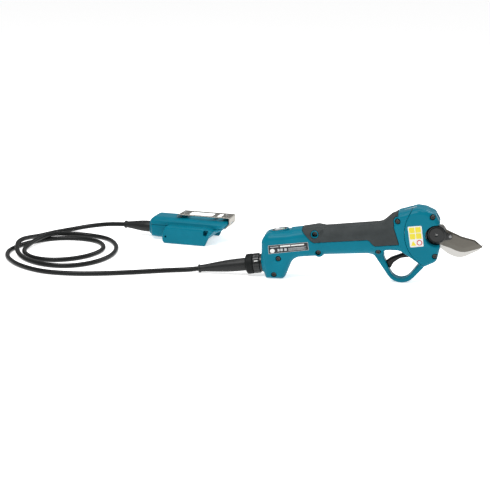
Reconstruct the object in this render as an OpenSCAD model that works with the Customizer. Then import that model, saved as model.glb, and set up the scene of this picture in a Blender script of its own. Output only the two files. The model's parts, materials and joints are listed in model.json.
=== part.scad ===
// Battery electric pruner: a powered handpiece, a curled lead and a belt-hook battery adapter.
// Millimetres, +Z up. The handpiece lies along X with its blade at +X and its blade plane in XZ.

/* [Frame] */
// Where the handpiece's own zero, near its heel, lies along X
hand_x = -13.6; // [-40:0.1:40]
// Where the handpiece's middle plane lies along Y
hand_y = -99.6; // [-120:0.1:-80]

/* [Handpiece] */
// Half width of the handle at its middle
handle_half = 19; // [17:0.5:21]
// Half width of the blade head
head_half = 20.5; // [19:0.5:23]
// Half width of the rear block
rear_half = 20; // [18:0.5:22]
// Half width of the finger guard
guard_half = 8; // [7:0.5:9]
// Wall thickness of the casings
wall = 2.6; // [2:0.1:3.2]
// Thickness of the rubber grip
grip_t = 1.6; // [1.2:0.1:2]

/* [Blades] */
// Thickness of the moving blade
blade_t = 3.2; // [2.5:0.1:4]
// Thickness of the counter blade
counter_t = 4; // [3:0.1:4.6]
// Radius of the blade pivot bolt
pivot_r = 4; // [3.5:0.5:5]
// Radius of the pivot cap
cap_r = 13; // [12:0.5:13.5]

/* [Drive] */
// Module of the spur pinion, the blade's toothed sector and the bevel pair
drive_mod = 1.2; // [1.2:0.1:1.2]
// Teeth in a full circle of the blade's sector
sector_teeth = 40; // [40:1:40]
// Teeth of the spur pinion and of the bevel pinion
pinion_teeth = 10; // [10:1:10]
// Teeth of the bevel gear
bevel_teeth = 30; // [30:1:30]
// Module of the planetary stage
planet_mod = 0.6; // [0.6:0.1:0.6]
// Downward tilt of the motor's axis from the head to the rear, in degrees
drive_tilt = 7; // [6:0.5:8]
// Radius of the motor
motor_r = 13.4; // [12:0.2:13.6]

/* [Lead] */
// Radius of the lead
cord_r = 3.4; // [3:0.1:3.8]
// Downward tilt of the connector's axis, in degrees
gland_tilt = 8; // [6:0.5:9]

/* [Adapter] */
// Half width of the adapter's battery skirt
skirt_half = 37; // [35:0.5:38]
// Half width of the adapter's upper body
upper_half = 23; // [22:0.5:27]
// Turn of the adapter about Z, in degrees
adapter_turn = -9.2; // [-15:0.1:0]
// Thickness of the hook's steel sheet
hook_t = 1.5; // [1.2:0.1:2]

/* [Hidden] */
big = 400;
pivot = [221.5, 70.5];          // blade pivot, in XZ
pressure = 25;      // pressure angle of all gears
addendum = 0.85;    // in modules
dedendum = 1.1;     // in modules
sector_r = drive_mod * sector_teeth / 2;
pinion_r = drive_mod * pinion_teeth / 2;
hub = [pivot[0] - sector_r - pinion_r, pivot[1]];   // drive gear's axis, in XZ
bevel_r = drive_mod * bevel_teeth / 2;
bevel_cone = atan(bevel_teeth / pinion_teeth);
cone_dist = bevel_r / sin(bevel_cone);
bevel_face = cone_dist / 3;
sun_teeth = 12;
planet_teeth = 15;
ring_teeth = 42;
planet_orbit = planet_mod * (sun_teeth + planet_teeth) / 2;
trigger_pivot = [201, 47];
gland = [-13.5, 18.8];          // where the connector's axis leaves the rear block, in XZ
adapter_foot = [-179.2, 182.8];    // the adapter's own origin on the floor, in XY
boot_z = 15;        // height of the adapter's lead
shell_y = 0.05;     // half the parting gap between the casing halves

// Casing outlines in XZ, anticlockwise: each point is [x, z, corner radius]
rear_pts = [[-9, 0, 3], [16.5, 0, 6], [29, 31, 16], [76, 36, 1], [76, 74.5, 1], [20, 66, 8], [-8, 61, 12],
    [-15.5, 48, 10], [-15.5, 20, 14]];
handle_pts = [[24, 33, 1], [138, 40.5, 8], [160, 45, 10], [210, 45, 1], [210, 104, 1], [176, 99.5, 8],
    [162, 95, 10], [149, 83, 16], [24, 69, 1]];
head_pts = [[190, 36, 4], [205, 25, 6], [223, 34, 9], [227.5, 54, 4], [227.5, 88, 4], [221, 99, 6],
    [207, 105, 8], [196, 106.5, 5], [168, 98, 4], [168, 50, 4]];
guard_pts = [[130, 42, 1], [138, 38.5, 8], [174, -13.7, 22], [207, 24, 6], [200, 50, 1]];
finger_pts = [[172.6, -8.7, 15.5], [200, 28.6, 3.5], [173, 45.6, 12], [152, 46, 4], [152.4, 34.2, 8]];
// Casing layers: [half width, inset of the outline]
rear_layers = [[rear_half, 7], [rear_half - 1.5, 3.5], [rear_half - 4, 1.2], [rear_half - 8, 0]];
handle_layers = [[handle_half, 13.5], [handle_half - 1.5, 9], [handle_half - 4, 5], [handle_half - 7.5, 2],
    [handle_half - 12, 0]];
head_layers = [[head_half, 5], [head_half - 1.5, 2.5], [head_half - 4, 1], [head_half - 8, 0]];
guard_layers = [[guard_half, 1.4], [guard_half - 1.6, 0]];
seam_centre = [231, 74];
seam_r = 52;
grip_front_pts = [[40, 80, 1], [40, 70, 2], [56, 54, 8], [94, 57.5, 4], [131, 61, 5], [139, 52.5, 5],
    [173, 56, 1.5], [165, 80, 6], [165, 92, 5], [170, 94, 1], [170, 112, 1]];

// Screws of the casing halves in XZ, with the depth of their heads below the outside
housing_screw_at = [[9.2, 30.2, 18.5], [3.1, 7, 16.5], [63.5, 40.7, 14], [58.5, 66.1, 13.5],
    [169.7, 88.5, 18], [144.4, 43.8, 12]];
cover_screw_at = [[215.8, 96, 18], [220.5, 42.5, 18]];
screw_r = 1.8;
screw_head_r = 3.3;
boss_r = 4.6;

// Middle line of the lead, from the handpiece to the adapter
cord_route = [[-105.1, 0, 5.9], [-123, 0, 3.6], [-145, -6, 3.4], [-170, -15, 3.4], [-197, -25, 3.4],
    [-237, -37, 3.4], [-277, -43, 3.4], [-320, -38, 3.4], [-360, -14, 3.4], [-388, 20, 3.4], [-399, 52, 3.4],
    [-397, 78, 3.4], [-386, 105, 3.4], [-366, 129, 3.4], [-342, 141, 3.4], [-314, 142, 3.4], [-287, 131, 3.4],
    [-271, 108, 3.4], [-267, 80, 3.4], [-278, 50, 3.4], [-299, 29, 3.4], [-325, 20, 3.4], [-350, 26, 3.4],
    [-369, 44, 3.4], [-379, 66, 3.6], [-379, 90, 5.5], [-371, 115, 9], [-357, 136, 10.4], [-333, 155, 7],
    [-302, 161, 3.8], [-272, 145, 3.4], [-251, 108, 3.4], [-245, 64, 3.4], [-255, 27, 3.4], [-276, 2, 3.4],
    [-303, -8, 3.4], [-335, -1, 3.4], [-364, 21, 3.4], [-384, 50, 5.5], [-393, 78, 9.6], [-393, 98, 10.4],
    [-389, 120, 8], [-380, 148, 4.2], [-364, 175, 3.4], [-342, 193, 4.6], [-316, 201, 8.4],
    [-287, 200.3, 12.6], [-256.3, 195.3, 15]];
cord_steps = 2;     // rings between two route points
cord_sides = 8;

// ---------- Shape helpers ----------

function unit(v) = v / norm(v);
function left_of(v) = [-v[1], v[0]];

// A corner b between a and c, rounded by radius r, as points along its arc
function corner(a, b, c, r, n) =
    let (u = unit(a - b), v = unit(c - b), half = acos(u * v) / 2, reach = r / tan(half),
        mid = b + unit(u + v) * r / sin(half), p = b + u * reach - mid, q = b + v * reach - mid,
        from = atan2(p[1], p[0]), turn = (atan2(q[1], q[0]) - from + 540) % 360 - 180)
    [for (i = [0:n]) mid + r * [cos(from + turn * i / n), sin(from + turn * i / n)]];

// An outline of [x, z, radius] points as a list of plain points
function rounded(pts, n = 5) =
    let (m = len(pts), xy = [for (p = pts) [p[0], p[1]]])
    [for (i = [0:m - 1]) each corner(xy[(i + m - 1) % m], xy[i], xy[(i + 1) % m], pts[i][2], n)];

// The outline moved inwards by d, with each corner's radius changed to suit
function inset(pts, d) =
    let (m = len(pts), xy = [for (p = pts) [p[0], p[1]]])
    [for (i = [0:m - 1])
        let (a = unit(xy[i] - xy[(i + m - 1) % m]), b = unit(xy[(i + 1) % m] - xy[i]),
            turn = a[0] * b[1] - a[1] * b[0], move = (left_of(a) + left_of(b)) / (1 + a * b) * d)
        [xy[i][0] + move[0], xy[i][1] + move[1], turn > 0 ? max(pts[i][2] - d, 0.4) : pts[i][2] + d]];

// Children drawn in XZ, standing between y = from and y = to
module across(from, to) {
    translate([0, to, 0]) rotate([90, 0, 0]) linear_extrude(to - from) children();
}

module plate(pts, from, to) {
    across(from, to) polygon(rounded(pts));
}

// A round bar along Y at p = [x, z]
module rod_y(p, r, from, to) {
    translate([p[0], to, p[1]]) rotate([90, 0, 0]) cylinder(r = r, h = to - from, $fn = 48);
}

// Children of the drive's own frame: +Z runs from the drive gear's axis back along the motor
module on_drive() {
    translate([hub[0], 0, hub[1]]) rotate([0, -90 - drive_tilt, 0]) children();
}

// Children of the connector's own frame: +Z runs out of the rear block
module on_gland() {
    translate([gland[0], 0, gland[1]]) rotate([0, -90 - gland_tilt, 0]) children();
}

module on_adapter() {
    translate([adapter_foot[0], adapter_foot[1], 0]) rotate([0, 0, adapter_turn]) children();
}

// A ring or disc from z = from to z = to
module ring(outer, inner, from, to) {
    translate([0, 0, from]) difference() {
        cylinder(r = outer, h = to - from, $fn = 64);
        translate([0, 0, -1]) cylinder(r = inner, h = to - from + 2, $fn = 64);
    }
}

// ---------- Gears ----------

function inv(a) = tan(a) * 180 / PI - a;
// Half of a tooth's angle at radius r
function tooth_half(mod, teeth, r, slack) =
    let (pitch = mod * teeth / 2, base = pitch * cos(pressure))
    90 / teeth - slack / pitch * 180 / PI + inv(pressure) - inv(acos(min(1, base / max(r, base))));

// One involute tooth that points along angle a, from its root to its tip and back
function tooth(mod, teeth, a, slack, tip, root) =
    let (pitch = mod * teeth / 2, base = pitch * cos(pressure), low = max(base, pitch - root * mod),
        high = pitch + tip * mod, rs = [for (i = [0:3]) low + (high - low) * i / 3],
        floor_half = tooth_half(mod, teeth, low, slack), bottom = pitch - root * mod)
    concat([bottom * [cos(a - floor_half), sin(a - floor_half)]],
        [for (r = rs) let (h = tooth_half(mod, teeth, r, slack)) r * [cos(a - h), sin(a - h)]],
        [for (i = [3:-1:0]) let (h = tooth_half(mod, teeth, rs[i], slack)) rs[i] * [cos(a + h), sin(a + h)]],
        [bottom * [cos(a + floor_half), sin(a + floor_half)]]);

function gear_points(mod, teeth, phase, slack = 0.06, tip = addendum, root = dedendum) =
    [for (i = [0:teeth - 1]) each tooth(mod, teeth, phase + 360 * i / teeth, slack, tip, root)];

// One straight bevel tooth about +Z with its cone's apex at the origin, pointing along angle a
module bevel_tooth(cone, half_top, half_foot, a) {
    across_cone = [sin(cone), cos(cone)];
    outward = [cos(cone), -sin(cone)];
    function at(s, h, w) = let (p = (across_cone * cone_dist + outward * h) * s) [p[0], w * s, p[1]];
    inner = 1 - bevel_face / cone_dist;
    top = addendum * drive_mod * 0.9;
    foot = -dedendum * drive_mod - 0.3;
    rotate([0, 0, a]) polyhedron(
        points = [for (s = [1, inner]) each [at(s, foot, -half_foot), at(s, foot, half_foot),
            at(s, top, half_top), at(s, top, -half_top)]],
        faces = [[0, 1, 2, 3], [7, 6, 5, 4], [4, 5, 1, 0], [5, 6, 2, 1], [6, 7, 3, 2], [7, 4, 0, 3]]);
}

// ---------- Casings of the handpiece ----------

module layered(pts, layers, d) {
    for (l = layers)
        across(-(l[0] - d), l[0] - d) polygon(rounded(inset(pts, l[1] + d)));
}

module guard_solid() {
    difference() {
        layered(guard_pts, guard_layers, 0);
        plate(finger_pts, -20, 20);
    }
}

// The whole outside of the handpiece, smaller by d all round
module body_solid(d) {
    layered(rear_pts, rear_layers, d);
    layered(handle_pts, handle_layers, d);
    layered(head_pts, head_layers, d);
}

module above_floor() {
    intersection() {
        children();
        translate([-big, -big, 0]) cube([2 * big, 2 * big, big]);
    }
}

// Room for the gears, the motor, the boards and the trigger
module hollows() {
    difference() {
        layered(head_pts, head_layers, wall);
        rod_y(pivot, notch_r + 3, -big, -4);
        rod_y(pivot, notch_r + 3, far_plate[1] + 0.3, big);
        for (s = concat(cover_screw_at, [housing_screw_at[4]])) rod_y([s[0], s[1]], boss_r, -big, big);
    }
    difference() {
        layered(rear_pts, rear_layers, wall);
        translate([40, -big, 0]) cube([big, 2 * big, big]);
        for (i = [0:1]) rod_y([housing_screw_at[i][0], housing_screw_at[i][1]], boss_r, -big, big);
    }
    on_drive() translate([0, 0, 10]) cylinder(r = motor_r + 1.4, h = 42, $fn = 96);
    on_drive() translate([0, 0, 50]) cylinder(r = motor_r + 0.3, h = 62, $fn = 96);
    on_drive() translate([0, 0, 110]) cylinder(r = 8, h = 60, $fn = 48);
    plate([[157, 58.5, 1], [180, 58.5, 1], [180, 82, 1], [157, 79.5, 1]],
        near_plate[0] - 0.3, far_plate[1] + 0.3);
    translate([173, -trigger_half - 0.8, 30]) cube([32, 2 * trigger_half + 1.6, 26]);
}

// The round notch of the head, open to the front, and the slot that the blades turn in
notch_r = cap_r + 1.6;
module head_notch() {
    rod_y(pivot, notch_r, -big, big);
    translate([pivot[0] + 4, -big, pivot[1] - cap_r]) cube([big, 2 * big, 2 * cap_r]);
    difference() {
        rod_y(pivot, sector_r + 3.4, -blade_t - 0.6, counter_t + 0.8);
        for (s = cover_screw_at) rod_y([s[0], s[1]], boss_r, -big, big);
    }
}

module shell_cuts() {
    hollows();
    head_notch();
    on_gland() translate([0, 0, -14]) cylinder(r = 9.3, h = 40, $fn = 64);
    on_gland() translate([0, 0, 1.2]) cylinder(r = 14.6, h = 40, $fn = 64);
    on_panel() translate([0, 0, -7]) linear_extrude(20) pill(17, 11);
    on_panel() translate([-9.2, -7.2, -8]) cube([18.4, 14.4, 5.6]);
}

module grip_zone() {
    plate(grip_front_pts, -big, big);
}

// The round front part that the head covers fill; the housings stay clear of it by gap
module seam_zone(gap = 0) {
    rod_y(seam_centre, seam_r + gap, -big, big);
}

// Holes for the screws: clearance and head room on the near side, pilot holes on the far side
module screw_holes(places) {
    for (s = places) {
        rod_y([s[0], s[1]], screw_r + 0.2, -big, 0);
        rod_y([s[0], s[1]], screw_r - 0.3, 0, 11);
        rod_y([s[0], s[1]], screw_head_r + 0.5, -big, -s[2] + 3.6);
    }
}

module near_half() {
    intersection() {
        children();
        translate([-big, -big - shell_y, -big]) cube([2 * big, big, 2 * big]);
    }
}

module far_half() {
    intersection() {
        children();
        translate([-big, shell_y, -big]) cube([2 * big, big, 2 * big]);
    }
}

module housing_whole() {
    difference() {
        above_floor() {
            difference() {
                body_solid(0);
                intersection() {
                    grip_zone();
                    difference() {
                        body_solid(-1);
                        body_solid(grip_t);
                    }
                }
                plate(finger_pts, -big, big);
            }
            guard_solid();
            on_panel() translate([0, 0, -8]) linear_extrude(8.8) pill(24, 18);
            on_gland() ring(13.4, 8, -6, 1.2);
        }
        seam_zone(shell_y);
        shell_cuts();
        screw_holes(housing_screw_at);
        panel_seat();
    }
}

module cover_whole() {
    difference() {
        intersection() {
            union() {
                body_solid(0);
                guard_solid();
            }
            seam_zone();
        }
        difference() {
            grip_zone();
            translate([169.8, -big, 0]) cube([big, 2 * big, big]);
        }
        plate(finger_pts, -big, big);
        shell_cuts();
        screw_holes(cover_screw_at);
    }
}

module grip_whole() {
    difference() {
        intersection() {
            body_solid(0);
            grip_zone();
        }
        body_solid(grip_t);
        seam_zone();
        for (s = housing_screw_at) rod_y([s[0], s[1]], screw_head_r + 1.8, -big, big);
    }
}

module housing_left() { color("teal") near_half() housing_whole(); }
module housing_right() { color("teal") far_half() housing_whole(); }
module head_cover_left() { color("darkcyan") near_half() cover_whole(); }
module head_cover_right() { color("darkcyan") far_half() cover_whole(); }
module grip_left() { color("dimgray") near_half() grip_whole(); }
module grip_right() { color("dimgray") far_half() grip_whole(); }

// Pan-head screws driven from the near side
module screws_at(places) {
    for (s = places) difference() {
        union() {
            rod_y([s[0], s[1]], screw_head_r, -s[2], -s[2] + 3);
            rod_y([s[0], s[1]], screw_r, -s[2] + 2, -0.1);
            rod_y([s[0], s[1]], screw_r - 0.4, -0.2, 10);
        }
        rod_y([s[0], s[1]], 1.3, -s[2] - 1, -s[2] + 1.8);
    }
}

module housing_screws() { color("black") screws_at(housing_screw_at); }
module cover_screws() { color("black") screws_at(cover_screw_at); }

// A thin plate on a flat flank at y = -half, between z = [low, high], sheared along the casing's lines
module flank_label(pts, half) {
    plate(pts, -half - 0.25, -half);
}

module rating_label() {
    color("dimgray") flank_label([[-4, 36.6, 1], [51, 44.5, 1], [49.5, 55.6, 1], [-5, 48.4, 1]], rear_half);
}

module head_label() {
    color("gold") flank_label([[187.5, 54, 1.5], [205.4, 56.4, 1.5], [201.5, 84.6, 1.5], [183, 82.4, 1.5]],
        head_half);
}

// ---------- Power switch ----------

panel_tilt = 10;
button_x = -3;
lens_x = 5;
// Children of the button panel's own frame: +Z is out of the casing
module on_panel() {
    translate([8.8, 0, 66.4]) rotate([0, -panel_tilt, 0]) children();
}

// A flat shape with round ends, l long and w wide
module pill(l, w) {
    square([l - w, w], center = true);
    for (x = [-(l - w) / 2, (l - w) / 2]) translate([x, 0]) circle(d = w, $fn = 64);
}

module panel_seat() {
    on_panel() linear_extrude(10) pill(21.4, 15.4);
}

module button_panel() {
    color("lightgray") on_panel() difference() {
        translate([0, 0, 0.05]) linear_extrude(1.2) pill(21.2, 15.2);
        translate([button_x, 0, -1]) cylinder(r = 3.6, h = 4, $fn = 48);
        translate([lens_x, 0, -1]) cylinder(r = 1.15, h = 4, $fn = 32);
    }
}

module power_button() {
    color("whitesmoke") on_panel() translate([button_x, 0, 0]) {
        translate([0, 0, -1.6]) cylinder(r = 3.3, h = 3.8, $fn = 48);
        translate([0, 0, -1.6]) cylinder(r = 4.2, h = 1, $fn = 48);
    }
}

module indicator_lens() {
    color("limegreen") on_panel() translate([lens_x, 0, -1]) cylinder(r = 1.1, h = 2.5, $fn = 32);
}

module switch_board() {
    color("green") on_panel() {
        translate([-8, -6, -6.5]) cube([16, 12, 1.4]);
        translate([button_x - 2, -2, -5.2]) cube([4, 4, 2.5]);
    }
}

// ---------- Trigger ----------

trigger_pts = [[161.5, 19.3, 1.6], [165, 27, 5], [174, 33.8, 12], [190, 36.6, 6], [207, 41.5, 6],
    [207, 52.5, 6], [196, 53, 4], [191.5, 45.4, 4], [178, 41, 14], [161, 34, 9], [156.2, 28.6, 2]];
trigger_half = 4.8;
spring_x = 188.5;

module trigger() {
    color("black") difference() {
        plate(trigger_pts, -trigger_half, trigger_half);
        rod_y(trigger_pivot, 2.05, -10, 10);
        translate([spring_x, 0, 42.6]) cylinder(r = 2.9, h = 6, $fn = 48);
    }
}

module trigger_pin() {
    color("silver") rod_y(trigger_pivot, 2, -7.8, 7.8);
}

// A helix of round wire about +Z, as one polyhedron
module coil_spring(r, wire, turns, height) {
    per_turn = 12;
    sides = 6;
    steps = turns * per_turn;
    points = [for (i = [0:steps], j = [0:sides - 1])
        let (a = 360 * i / per_turn, b = 360 * j / sides, out = r + wire * cos(b))
        [out * cos(a), out * sin(a), wire + (height - 2 * wire) * i / steps + wire * sin(b)]];
    faces = concat([[for (j = [0:sides - 1]) j]],
        [for (i = [0:steps - 1], j = [0:sides - 1]) let (k = (j + 1) % sides)
            [i * sides + j, (i + 1) * sides + j, (i + 1) * sides + k, i * sides + k]],
        [[for (j = [sides - 1:-1:0]) steps * sides + j]]);
    polyhedron(points = points, faces = faces, convexity = 8);
}

module trigger_spring() {
    color("gainsboro") translate([spring_x, 0, 42.9]) coil_spring(2.1, 0.35, 5, 11);
}

module trigger_sensor() {
    color("green") {
        translate([184, -9, 57]) cube([12, 11, 1.4]);
        translate([186.5, -2.5, 54.2]) cube([4, 5, 2.9]);
    }
}

// ---------- Blades and pivot ----------

// Cutting edge at the lower side, with the toothed sector on the far side of the pivot
blade_pts = [[222, 58, 2], [230.5, 53.2, 3], [240, 50.4, 12], [256, 43.5, 26], [284.5, 52.8, 0.4],
    [273, 62.6, 3], [255, 67, 20], [236, 75.4, 8], [222, 83, 3]];
counter_pts = [[208, 48.4, 3], [226.2, 48.4, 1], [227.4, 49.6, 1], [237, 42.2, 6], [253, 35, 22],
    [279, 48.5, 6], [286.3, 58, 0.5], [276, 50.8, 8], [257, 48, 24], [240, 57, 8], [236.5, 72, 6],
    [231, 82, 6], [218, 82, 5], [214, 60, 5]];
sector_from = 114;
sector_to = 196;

module moving_blade() {
    sector = gear_points(drive_mod, sector_teeth, 180);
    color("dimgray") difference() {
        union() {
            plate(blade_pts, -blade_t, -0.1);
            rod_y(pivot, 12.5, -blade_t, -0.1);
            translate([pivot[0], 0, pivot[1]]) across(-blade_t, -0.1) intersection() {
                polygon(sector);
                polygon(concat([[0, 0]], [for (i = [0:8])
                    let (a = sector_from + (sector_to - sector_from) * i / 8) 40 * [cos(a), sin(a)]]));
            }
        }
        rod_y(pivot, pivot_r + 1.05, -10, 10);
    }
}

module counter_blade() {
    color("silver") difference() {
        union() {
            plate(counter_pts, 0.1, counter_t);
            rod_y(pivot, 12.5, 0.1, counter_t);
        }
        rod_y(pivot, pivot_r + 0.05, -10, 10);
        for (p = counter_screw_at) rod_y(p, 1.6, -10, 10);
    }
}

counter_screw_at = [[212, 52.5], [219.5, 52.8]];

module counter_screws() {
    color("gray") for (p = counter_screw_at) {
        rod_y(p, 1.55, 0.4, 10.6);
        rod_y(p, 2.8, 8.5, 10.6);
    }
}

module pivot_bolt() {
    color("gray") difference() {
        union() {
            rod_y(pivot, pivot_r, -9, 13);
            rod_y(pivot, 6.5, 10.4, 13.4);
        }
        across(12, 14) translate(pivot) circle(r = 3, $fn = 6);
    }
}

module pivot_bush() {
    color("goldenrod") difference() {
        rod_y(pivot, pivot_r + 1, -blade_t, -0.1);
        rod_y(pivot, pivot_r + 0.02, -10, 10);
    }
}

module pivot_nut() {
    color("gray") difference() {
        across(-8.2, -blade_t - 0.3) translate(pivot) circle(r = 7.6, $fn = 6);
        rod_y(pivot, pivot_r, -10, 10);
    }
}

cap_lug = [240, 67.8];
cap_face = -11.5;   // outer face of the pivot cap

// Round cap over the nut, with a lug that is screwed to the moving blade
module pivot_cap() {
    color("black") difference() {
        union() {
            rod_y(pivot, cap_r, cap_face, -blade_t - 0.05);
            rod_y(pivot, cap_r - 1, cap_face - 0.8, cap_face + 1);
            plate([[229, 61, 2], [242.5, 63.4, 4], [242.8, 70.6, 4], [231, 72.4, 1]], -6.4, -blade_t - 0.05);
        }
        rod_y(pivot, 8.1, -8.5, 0);
        rod_y(pivot, pivot_r + 0.3, -9.4, 0);
        rod_y(pivot, 1.9, cap_face - 2, -9);
        rod_y(cap_lug, 1.3, -10, 0);
    }
}

module cap_screw() {
    color("silver") {
        rod_y(pivot, 1.8, cap_face, -9.05);
        rod_y(cap_lug, 1.25, -6.5, -blade_t - 0.05);
        rod_y(cap_lug, 2.3, -7.6, -6.45);
    }
}

// ---------- Gear frame and drive train ----------

near_plate = [-13.4, -9.6];
far_plate = [12.2, 15.9];
frame_pts = [[159, 59.5, 2], [180, 60, 4], [190, 57, 6], [202.5, 63, 5], [202.5, 78, 5], [190, 84, 6],
    [180, 80, 4], [159, 78.5, 2]];

// Two side plates, the blade mount and the wall that carries the pinion's bearing
module gear_frame() {
    color("lightslategray") difference() {
        union() {
            plate(frame_pts, near_plate[0], near_plate[1]);
            plate(frame_pts, far_plate[0], far_plate[1]);
            plate([[206, 49, 2], [223.5, 49, 3], [226.5, 79, 6], [212, 79, 3], [211.6, 60, 3]],
                counter_t + 0.05, 8.4);
            plate([[211.6, 62, 1], [226, 62, 3], [226.5, 79, 6], [212, 79, 3]], 8, far_plate[1]);
            plate([[196, 63, 1], [214, 63, 1], [214, 78, 1], [196, 78, 1]], far_plate[0], far_plate[1]);
            // the wall that carries the pinion's bearing
            on_drive() intersection() {
                translate([-13.2, -far_plate[1], 21.4]) cube([23, far_plate[1] - near_plate[0], 8]);
                translate([0, 0, 20]) cylinder(r = motor_r + 1.2, h = 12, $fn = 96);
            }
        }
        rod_y(hub, 6.55, -30, 30);
        on_drive() translate([0, 0, 10]) cylinder(r = 6.55, h = 30, $fn = 64);
        on_drive() translate([0, 0, 29.4]) cylinder(r = 24, h = 20, $fn = 64);
        rod_y(pivot, pivot_r + 0.05, -30, 30);
        rod_y(pivot, 7, 10.35, 30);
        for (p = counter_screw_at) {
            rod_y(p, 1.6, -10, 30);
            rod_y(p, 3.2, 8.4, 30);
        }
    }
}

// Spur pinion and bevel gear on one shaft: it turns about Y in mesh with the blade's sector
module drive_gear() {
    color("silver") translate([hub[0], 0, hub[1]]) {
        translate([0, far_plate[1] - 0.2, 0]) rotate([90, 0, 0])
            cylinder(r = 3, h = far_plate[1] - near_plate[0] - 0.4, $fn = 48);
        across(-blade_t - 0.5, 0.6)
            polygon(gear_points(drive_mod, pinion_teeth, 180 / pinion_teeth));
        across(0.5, 11.6) circle(r = 4.4, $fn = 48);
        translate([0, 11.8, 0]) rotate([90, 0, 0]) cylinder(r = 18.4, h = 4.4, $fn = 96);
        rotate([-90, 0, 0]) for (i = [0:bevel_teeth - 1])
            bevel_tooth(bevel_cone, 0.34, 0.92, drive_tilt + 180 + 360 * (i + 0.5) / bevel_teeth);
    }
}

module bearing(outer, inner, from, to) {
    ring(outer, outer - 1, from, to);
    ring(inner + 1, inner, from, to);
    ring(outer - 1.1, inner + 1.1, from + 0.6, to - 0.6);
}

module shaft_bearings() {
    color("silver") for (y = [near_plate, far_plate])
        translate([hub[0], y[1] - 0.2, hub[1]]) rotate([90, 0, 0]) bearing(6.5, 3.03, 0, 3.6);
}

module bevel_pinion() {
    pinion_cone = 90 - bevel_cone;
    color("silver") on_drive() {
        // the teeth, on a plain conical core
        for (i = [0:pinion_teeth - 1])
            bevel_tooth(pinion_cone, 0.26, 0.74, 90 + 360 * i / pinion_teeth);
        translate([0, 0, cone_dist * cos(pinion_cone) * 2 / 3 + 0.2])
            cylinder(r1 = 2.9, r2 = 4.5, h = cone_dist * cos(pinion_cone) / 3, $fn = 48);
        translate([0, 0, 17.8]) cylinder(r = 3, h = 14.8, $fn = 48);
        // the planets' carrier and its three pins
        translate([0, 0, 32.4]) cylinder(r = planet_orbit + 3, h = 2.4, $fn = 96);
        for (a = [0:120:240]) rotate([0, 0, a]) translate([planet_orbit, 0, 32.4])
            cylinder(r = 1.5, h = planet_to - 32.4, $fn = 32);
    }
}

module carrier_bearing() {
    color("silver") on_drive() bearing(6.5, 3.03, 23, 27.6);
}

planet_from = 35.4;
planet_to = 42.4;
// Planet number k of 3, at angle a on the carrier
module planet_gear(a) {
    color("silver") on_drive() rotate([0, 0, a]) translate([planet_orbit, 0, planet_from]) difference() {
        linear_extrude(planet_to - planet_from)
            polygon(gear_points(planet_mod, planet_teeth, 180 + 180 / planet_teeth, 0.04));
        translate([0, 0, -1]) cylinder(r = 1.55, h = 12, $fn = 32);
    }
}

module ring_gear() {
    color("gray") on_drive() {
        translate([0, 0, planet_from - 0.2]) linear_extrude(planet_to - planet_from + 0.4) difference() {
            circle(r = motor_r + 1.1, $fn = 96);
            polygon(gear_points(planet_mod, ring_teeth, 0, -0.05, dedendum, addendum));
        }
        ring(motor_r + 1.1, planet_orbit + 3.6, 29.6, planet_from - 0.15);
        ring(motor_r + 1.1, 7, planet_to + 0.15, 47.6);
    }
}

motor_from = 48;
motor_to = 104;
module motor_can() {
    color("darkslategray") on_drive() difference() {
        translate([0, 0, motor_from]) cylinder(r = motor_r, h = motor_to - motor_from, $fn = 96);
        translate([0, 0, motor_from + 2.5])
            cylinder(r = motor_r - 3, h = motor_to - motor_from - 5, $fn = 96);
        translate([0, 0, motor_from - 1]) cylinder(r = 4.06, h = 80, $fn = 48);
    }
}

module motor_rotor() {
    color("silver") on_drive() {
        translate([0, 0, planet_from + 0.2]) linear_extrude(planet_to - planet_from - 0.4)
            polygon(gear_points(planet_mod, sun_teeth, 0, 0.04));
        translate([0, 0, planet_from + 0.2]) cylinder(r = 1.6, h = motor_to - planet_from + 1.6, $fn = 32);
        translate([0, 0, motor_from + 7]) cylinder(r = motor_r - 4, h = 42, $fn = 64);
    }
}

module motor_bearings() {
    color("silver") on_drive() {
        bearing(4, 1.63, motor_from + 0.1, motor_from + 2.4);
        bearing(4, 1.63, motor_to - 2.4, motor_to - 0.1);
    }
}

// Three phase leads from the motor to the board
module motor_leads() {
    color("red") on_drive() for (a = [-40, 0, 40]) rotate([0, 0, a]) translate([5.5, 0, motor_to + 0.1])
        cylinder(r = 1, h = 24, $fn = 24);
}

module controller_board() {
    color("green") {
        translate([14, -12, 37]) cube([24, 24, 1.6]);
        translate([17, -9, 38.5]) cube([8, 8, 5]);
        translate([27, 1, 38.5]) cube([7, 7, 3]);
        translate([20, 6, 38.5]) cylinder(r = 2.6, h = 8, $fn = 32);
    }
}

// ---------- Connector and lead ----------

module cord_socket() {
    color("black") on_gland() difference() {
        union() {
            translate([0, 0, -9]) cylinder(r = 9.2, h = 21, $fn = 64);
            translate([0, 0, 1.25]) cylinder(r = 12.4, h = 2.6, $fn = 64);
            translate([0, 0, -11]) cylinder(r = 7, h = 2, $fn = 64);
        }
        translate([0, 0, -7]) cylinder(r = 6.4, h = 30, $fn = 64);
        translate([0, 0, 8.2]) ring(11, 8.4, 0, 1.5);
    }
    color("goldenrod") on_gland() for (a = [0:90:270]) rotate([0, 0, a]) translate([3.2, 0, -7.1])
        cylinder(r = 0.8, h = 9, $fn = 24);
}

module socket_seal() {
    color("dimgray") on_gland() translate([0, 0, 8.95])
        rotate_extrude($fn = 64) translate([9.05, 0]) circle(r = 0.6, $fn = 24);
}

ring_flats = 12;
// Knurled coupling ring, free to turn on the plug
module coupling_ring() {
    color("black") on_gland() difference() {
        union() {
            translate([0, 0, 4.4]) cylinder(r = 13.9, h = 9.4, $fn = ring_flats);
            translate([0, 0, 5]) cylinder(r = 13.6, h = 8.2, $fn = 64);
        }
        translate([0, 0, 3]) cylinder(r = 9.8, h = 9.6, $fn = 64);
        translate([0, 0, 12]) cylinder(r = 8.4, h = 4, $fn = 64);
    }
}

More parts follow.
